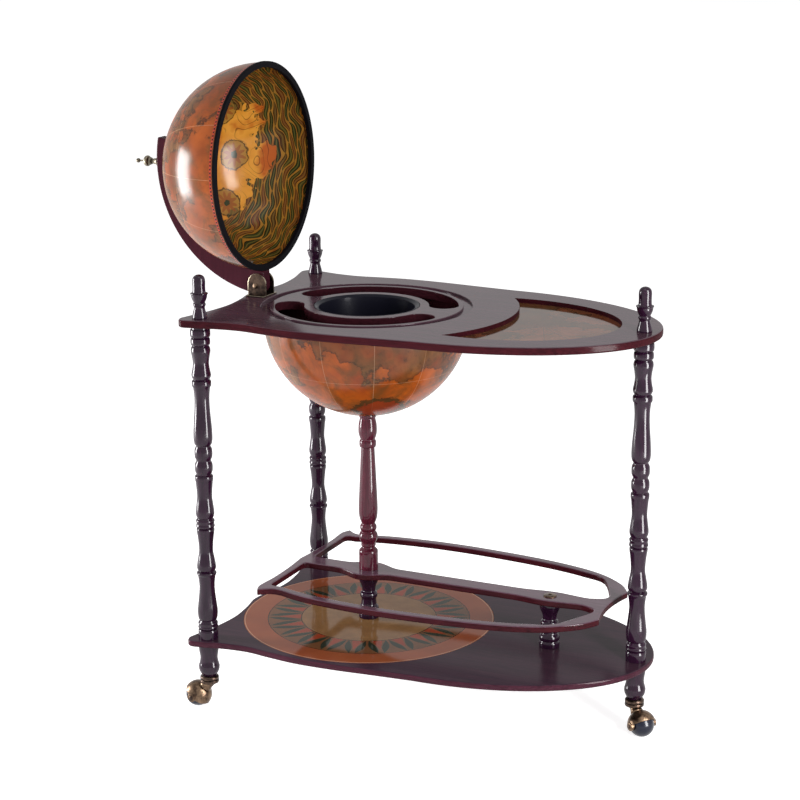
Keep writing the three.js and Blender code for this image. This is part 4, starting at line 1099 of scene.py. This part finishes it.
def make_arm():
    """The meridian arm, cut from the side view of its closed place and swung open."""
    inner_radius = globe_radius + 3.5 * mm
    pole_radius = inner_radius + 29.5 * mm
    half_width = 11 * mm
    hinge = pin - lid_centre
    end_radius = 13.6 * mm
    end_y = hinge.z - end_radius
    inner_start = 180 - degrees(asin(end_y / inner_radius))
    pole_end = 78
    outer_x = hinge.x - end_radius
    outer_start = degrees(atan2(hinge.z, outer_x))
    growth = hypot(outer_x, hinge.z) - pole_radius
    outline = arc((0, 0), inner_radius, inner_start, pole_end, 48)
    steps = 48
    for step in range(steps + 1):
        angle = pole_end + (outer_start - pole_end) * step / steps
        rise = max(0, (angle - 90) / (outer_start - 90))
        radius = pole_radius + growth * rise ** 2
        turn = radians(angle)
        outline.append((radius * cos(turn), radius * sin(turn)))
    outline += arc((hinge.x, hinge.z), end_radius, 180, 270, 12)[1:]
    arm = board("arm_wood", [outline], -half_width, half_width)
    ease(arm, 1.6 * mm)
    finish(arm, lid_place @ upright, "lid", "meridian_arm", "mahogany", arm_mahogany)


make_arm()


def make_hinge():
    """The hinge bracket bent from strip, with two ears and two flanges, and its riveted pin."""
    middle = pin.x - globe_axis.x + 2.5 * mm
    ear_half = 16.75 * mm
    arch_z = table_top + 20.5 * mm
    bottom = table_top + 0.3 * mm
    plate = 2 * mm
    strip = 2.5 * mm
    ear_inside = 11.6 * mm
    ear_outside = ear_inside + strip
    flange_end = ear_outside + 8.5 * mm
    strip_round = 0.7 * mm
    ear = [
        (middle - ear_half, bottom + 0.2 * mm), (middle + ear_half, bottom + 0.2 * mm),
        *arc((middle, arch_z), ear_half, 0, 180, 20),
    ]
    pieces = []
    for side in (-ear_outside, ear_inside):
        cheek = board("ear", [ear], 0, strip)
        ease(cheek, strip_round, 2)
        place(cheek, Matrix.Translation((0, side + strip, 0)) @ upright)
        pieces.append(cheek)
    base = board("plate", [[
        (middle - ear_half, -flange_end), (middle + ear_half, -flange_end),
        (middle + ear_half, flange_end), (middle - ear_half, flange_end),
    ]], bottom, bottom + plate)
    ease(base, strip_round, 2)
    bracket = join([base, *pieces])
    bracket.name = "hinge_strip"
    # The strip's rounded edges take the lighter brass, a painted highlight
    finish(
        bracket, to_axis, "frame", "hinge_bracket", "antique_brass", bronze, painted_highlight_brass,
        second=lambda face: max(abs(side) for side in face.normal) < 0.98,
    )

    rivet = pin_with_heads("hinge_rivet", [
        (3, 14.45), (4.4, 14.45), (4.4, 14.75), (2.64, 15.555), (0, 15.75),
    ])
    pin_place = Matrix.Translation(pin) @ upright
    finish(rivet, pin_place, "frame", "hinge_pin", "antique_brass", antique_brass)


make_hinge()


def make_pole_finial():
    """The turned brass finial: a flange on the arm, a knob, and a thin rod with a ball."""
    start = globe_radius + 33.3 * mm
    knob_start = start + 15 * mm
    knob_end = knob_start + 13 * mm
    flange = turned("finial_flange", measured([
        (0, 0), (8.2, 0), (8.5, 0.4), (8.5, 2.4), (8, 3), (6.4, 3.4), (5.4, 6), (4.9, 8.6),
        (4.9, 10.4), (4.4, 11), (0, 11),
    ], start))
    knob = turned_work("finial_knob", [
        (0, 600), (80, 660), (240, 740), (300, 700), (330, 600), (380, 800), (500, 980),
        (640, 1000), (780, 960), (900, 840), (1000, 600),
    ], 9 * mm, knob_start, knob_end)
    rod_top = start + 37 * mm
    ball = 3.8 * mm
    spindle = turned("finial_spindle", [
        *measured([(0, -4), (4.6, -4), (6.6, -2.6), (7, -0.5), (7, 0), (3, 0)],
                  globe_inside - 0.75 * mm),
        *measured([(3, 0.2), (2, 1), (1.4, 2)], knob_end),
        (1.4 * mm, rod_top), *arc((0, rod_top + ball), ball, -66, 78, 12),
        (0, rod_top + 2 * ball),
    ])
    for piece, node in ((flange, "pole_flange"), (knob, "pole_knob"), (spindle, "pole_spindle")):
        finish(piece, lid_place, "lid", node, "bright_brass", dull_brass)


make_pole_finial()


def make_casters():
    """Ball casters: a stepped socket on the foot, a hood with bosses, a ball and its rivet."""
    # The ball stands on the floor
    ball = box_middle("caster_ball_right").z
    trail = 22 * mm
    middle = Matrix.Translation((trail, 0, ball))
    at_ball = middle @ upright
    socket_low = heights("caster_socket_right")[0]
    socket_high = 55.7 * mm
    socket = turned_work("caster_ring", [
        (0, 800), (50, 930), (120, 1000), (380, 1000), (460, 950), (500, 860), (540, 950),
        (600, 1000), (800, 1000), (920, 940), (1000, 840),
    ], 15.2 * mm, socket_low, socket_high)

    bore = 2.6 * mm
    side = 16.2 * mm
    side_angle = degrees(asin(side / ball))
    wheel = turned("caster_wheel", [
        (bore, -side), *arc((0, 0), ball, -side_angle, side_angle, 20), (bore, side),
        (bore, -side),
    ], 48)
    place(wheel, at_ball)

    hood_outer = 22.6 * mm
    hood_inner = 20.8 * mm
    tilt = radians(38)
    deselect()
    bpy.ops.mesh.primitive_uv_sphere_add(segments=48, ring_count=24, radius=hood_outer)
    hood = bpy.context.object
    place(hood, middle)
    edit(hood)
    bpy.ops.mesh.bisect(
        plane_co=(trail, 0, ball), plane_no=(-sin(tilt), 0, cos(tilt)),
        clear_inner=True, use_fill=False,
    )
    apply_modifier(hood, "SOLIDIFY", thickness=hood_outer - hood_inner, offset=-1)
    ease(hood, 0.5 * mm, 2, radians(60))

    hood_top = socket_low - 0.3 * mm
    lean = atan2(trail, hood_top - ball)
    reach = hypot(trail, hood_top - ball)
    neck = turned("neck", [
        (0, -hood_outer * 0.2 + hood_inner), (11.4 * mm, hood_inner - 4 * mm),
        (9.6 * mm, hood_outer + 1 * mm), (8.4 * mm, reach - 5 * mm), (8 * mm, reach + 6 * mm),
        (0, reach + 6 * mm),
    ])
    place(neck, middle @ Matrix.Rotation(-lean, 4, "Y"))
    edit(neck)
    bpy.ops.mesh.bisect(
        plane_co=(0, 0, hood_top), plane_no=(0, 0, 1), clear_outer=True, use_fill=True,
    )
    clean(neck)
    hollow = turned("neck_tool", [
        (0, -hood_inner), *arc((0, 0), hood_inner, -80, 80, 16), (0, hood_inner),
    ])
    place(hollow, middle)
    cut(neck, hollow)
    boss = turned("boss", measured([(0, -23.4), (6, -23.4), (7, -22.7), (7, -18), (0, -18)]))
    place(boss, at_ball)
    other_boss = new_object("other_boss", boss.data.copy())
    place(other_boss, Matrix.Scale(-1, 4, (0, 1, 0)))
    clean(other_boss)
    stem_radius = 4 * mm
    stem_top = socket_high - 0.8 * mm
    stem = plug("stem", stem_radius, hood_top - 4 * mm, stem_top)
    bore_radius = stem_radius + 0.5 * mm
    cut(socket, plug("stem_bore", bore_radius, socket_low - 1 * mm, stem_top + 0.4 * mm))
    cover = join([hood, neck, boss, other_boss, stem])
    cover.name = "caster_cover"

    rivet = pin_with_heads("rivet", [(2.1, 23.7), (3.8, 23.7), (2.66, 24.6), (0, 24.9)])
    place(rivet, at_ball)
    patterns = [
        (socket, "socket", "frame", bronze, "antique_brass"),
        (cover, "hood", "swivel", antique_brass, "antique_brass"),
        (rivet, "axle", "swivel", bronze, "antique_brass"),
        (wheel, "ball", "wheel", ball_plastic, "ball_black"),
    ]
    for station, turn in stations.items():
        trailing = Matrix.Rotation(radians(turn), 4, "Z")
        spot = move_to(f"dowel_screw_lower_{station}") @ trailing
        for pattern, kind, body, material, slot in patterns:
            piece = new_object(f"{pattern.name}_{station}", pattern.data.copy())
            rides = body if body == "frame" else f"{body}_{station}"
            finish(piece, spot, rides, f"caster_{kind}_{station}", slot, material)
    for pattern in (socket, cover, rivet, wheel):
        bpy.data.objects.remove(pattern)


make_casters()


def make_rail_bolt():
    """A domed brass bolt head with a hexagon socket, on the rail's right post."""
    base = rail_top + 0.3 * mm
    head = 10.5 * mm
    shank = 3 * mm
    shank_end = 167 * mm
    bolt = turned("rail_bolt_head", [
        (0, shank_end), (shank, shank_end), (shank, base), (head, base),
        *arc((0, base + 1 * mm), (head, 1.6 * mm), 0, 75, 5), (0, base + 2.6 * mm),
    ], 36)
    deselect()
    bpy.ops.mesh.primitive_cylinder_add(
        vertices=6, radius=3.2 * mm, depth=4 * mm, location=(0, 0, base + 3 * mm),
    )
    cut(bolt, bpy.context.object)
    clean(bolt)
    bolt_place = to_axis @ Matrix.Translation((rail_post_x, 0, 0))
    finish(bolt, bolt_place, "frame", "rail_bolt", "antique_brass", antique_brass)


make_rail_bolt()

# The small pieces that keep their CAD shape
plain_finishes = {
    ("dowel_screw", "column_dowel", "shelf_screw", "bowl_", "arm_screw"): zinc_steel,
    ("arm_spacer", "pole_spacer", "bracket_screw"): antique_brass,
}
for node_name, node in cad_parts.items():
    for starts, material in plain_finishes.items():
        if node_name.startswith(starts):
            for slot in node.material_slots:
                slot.material = material
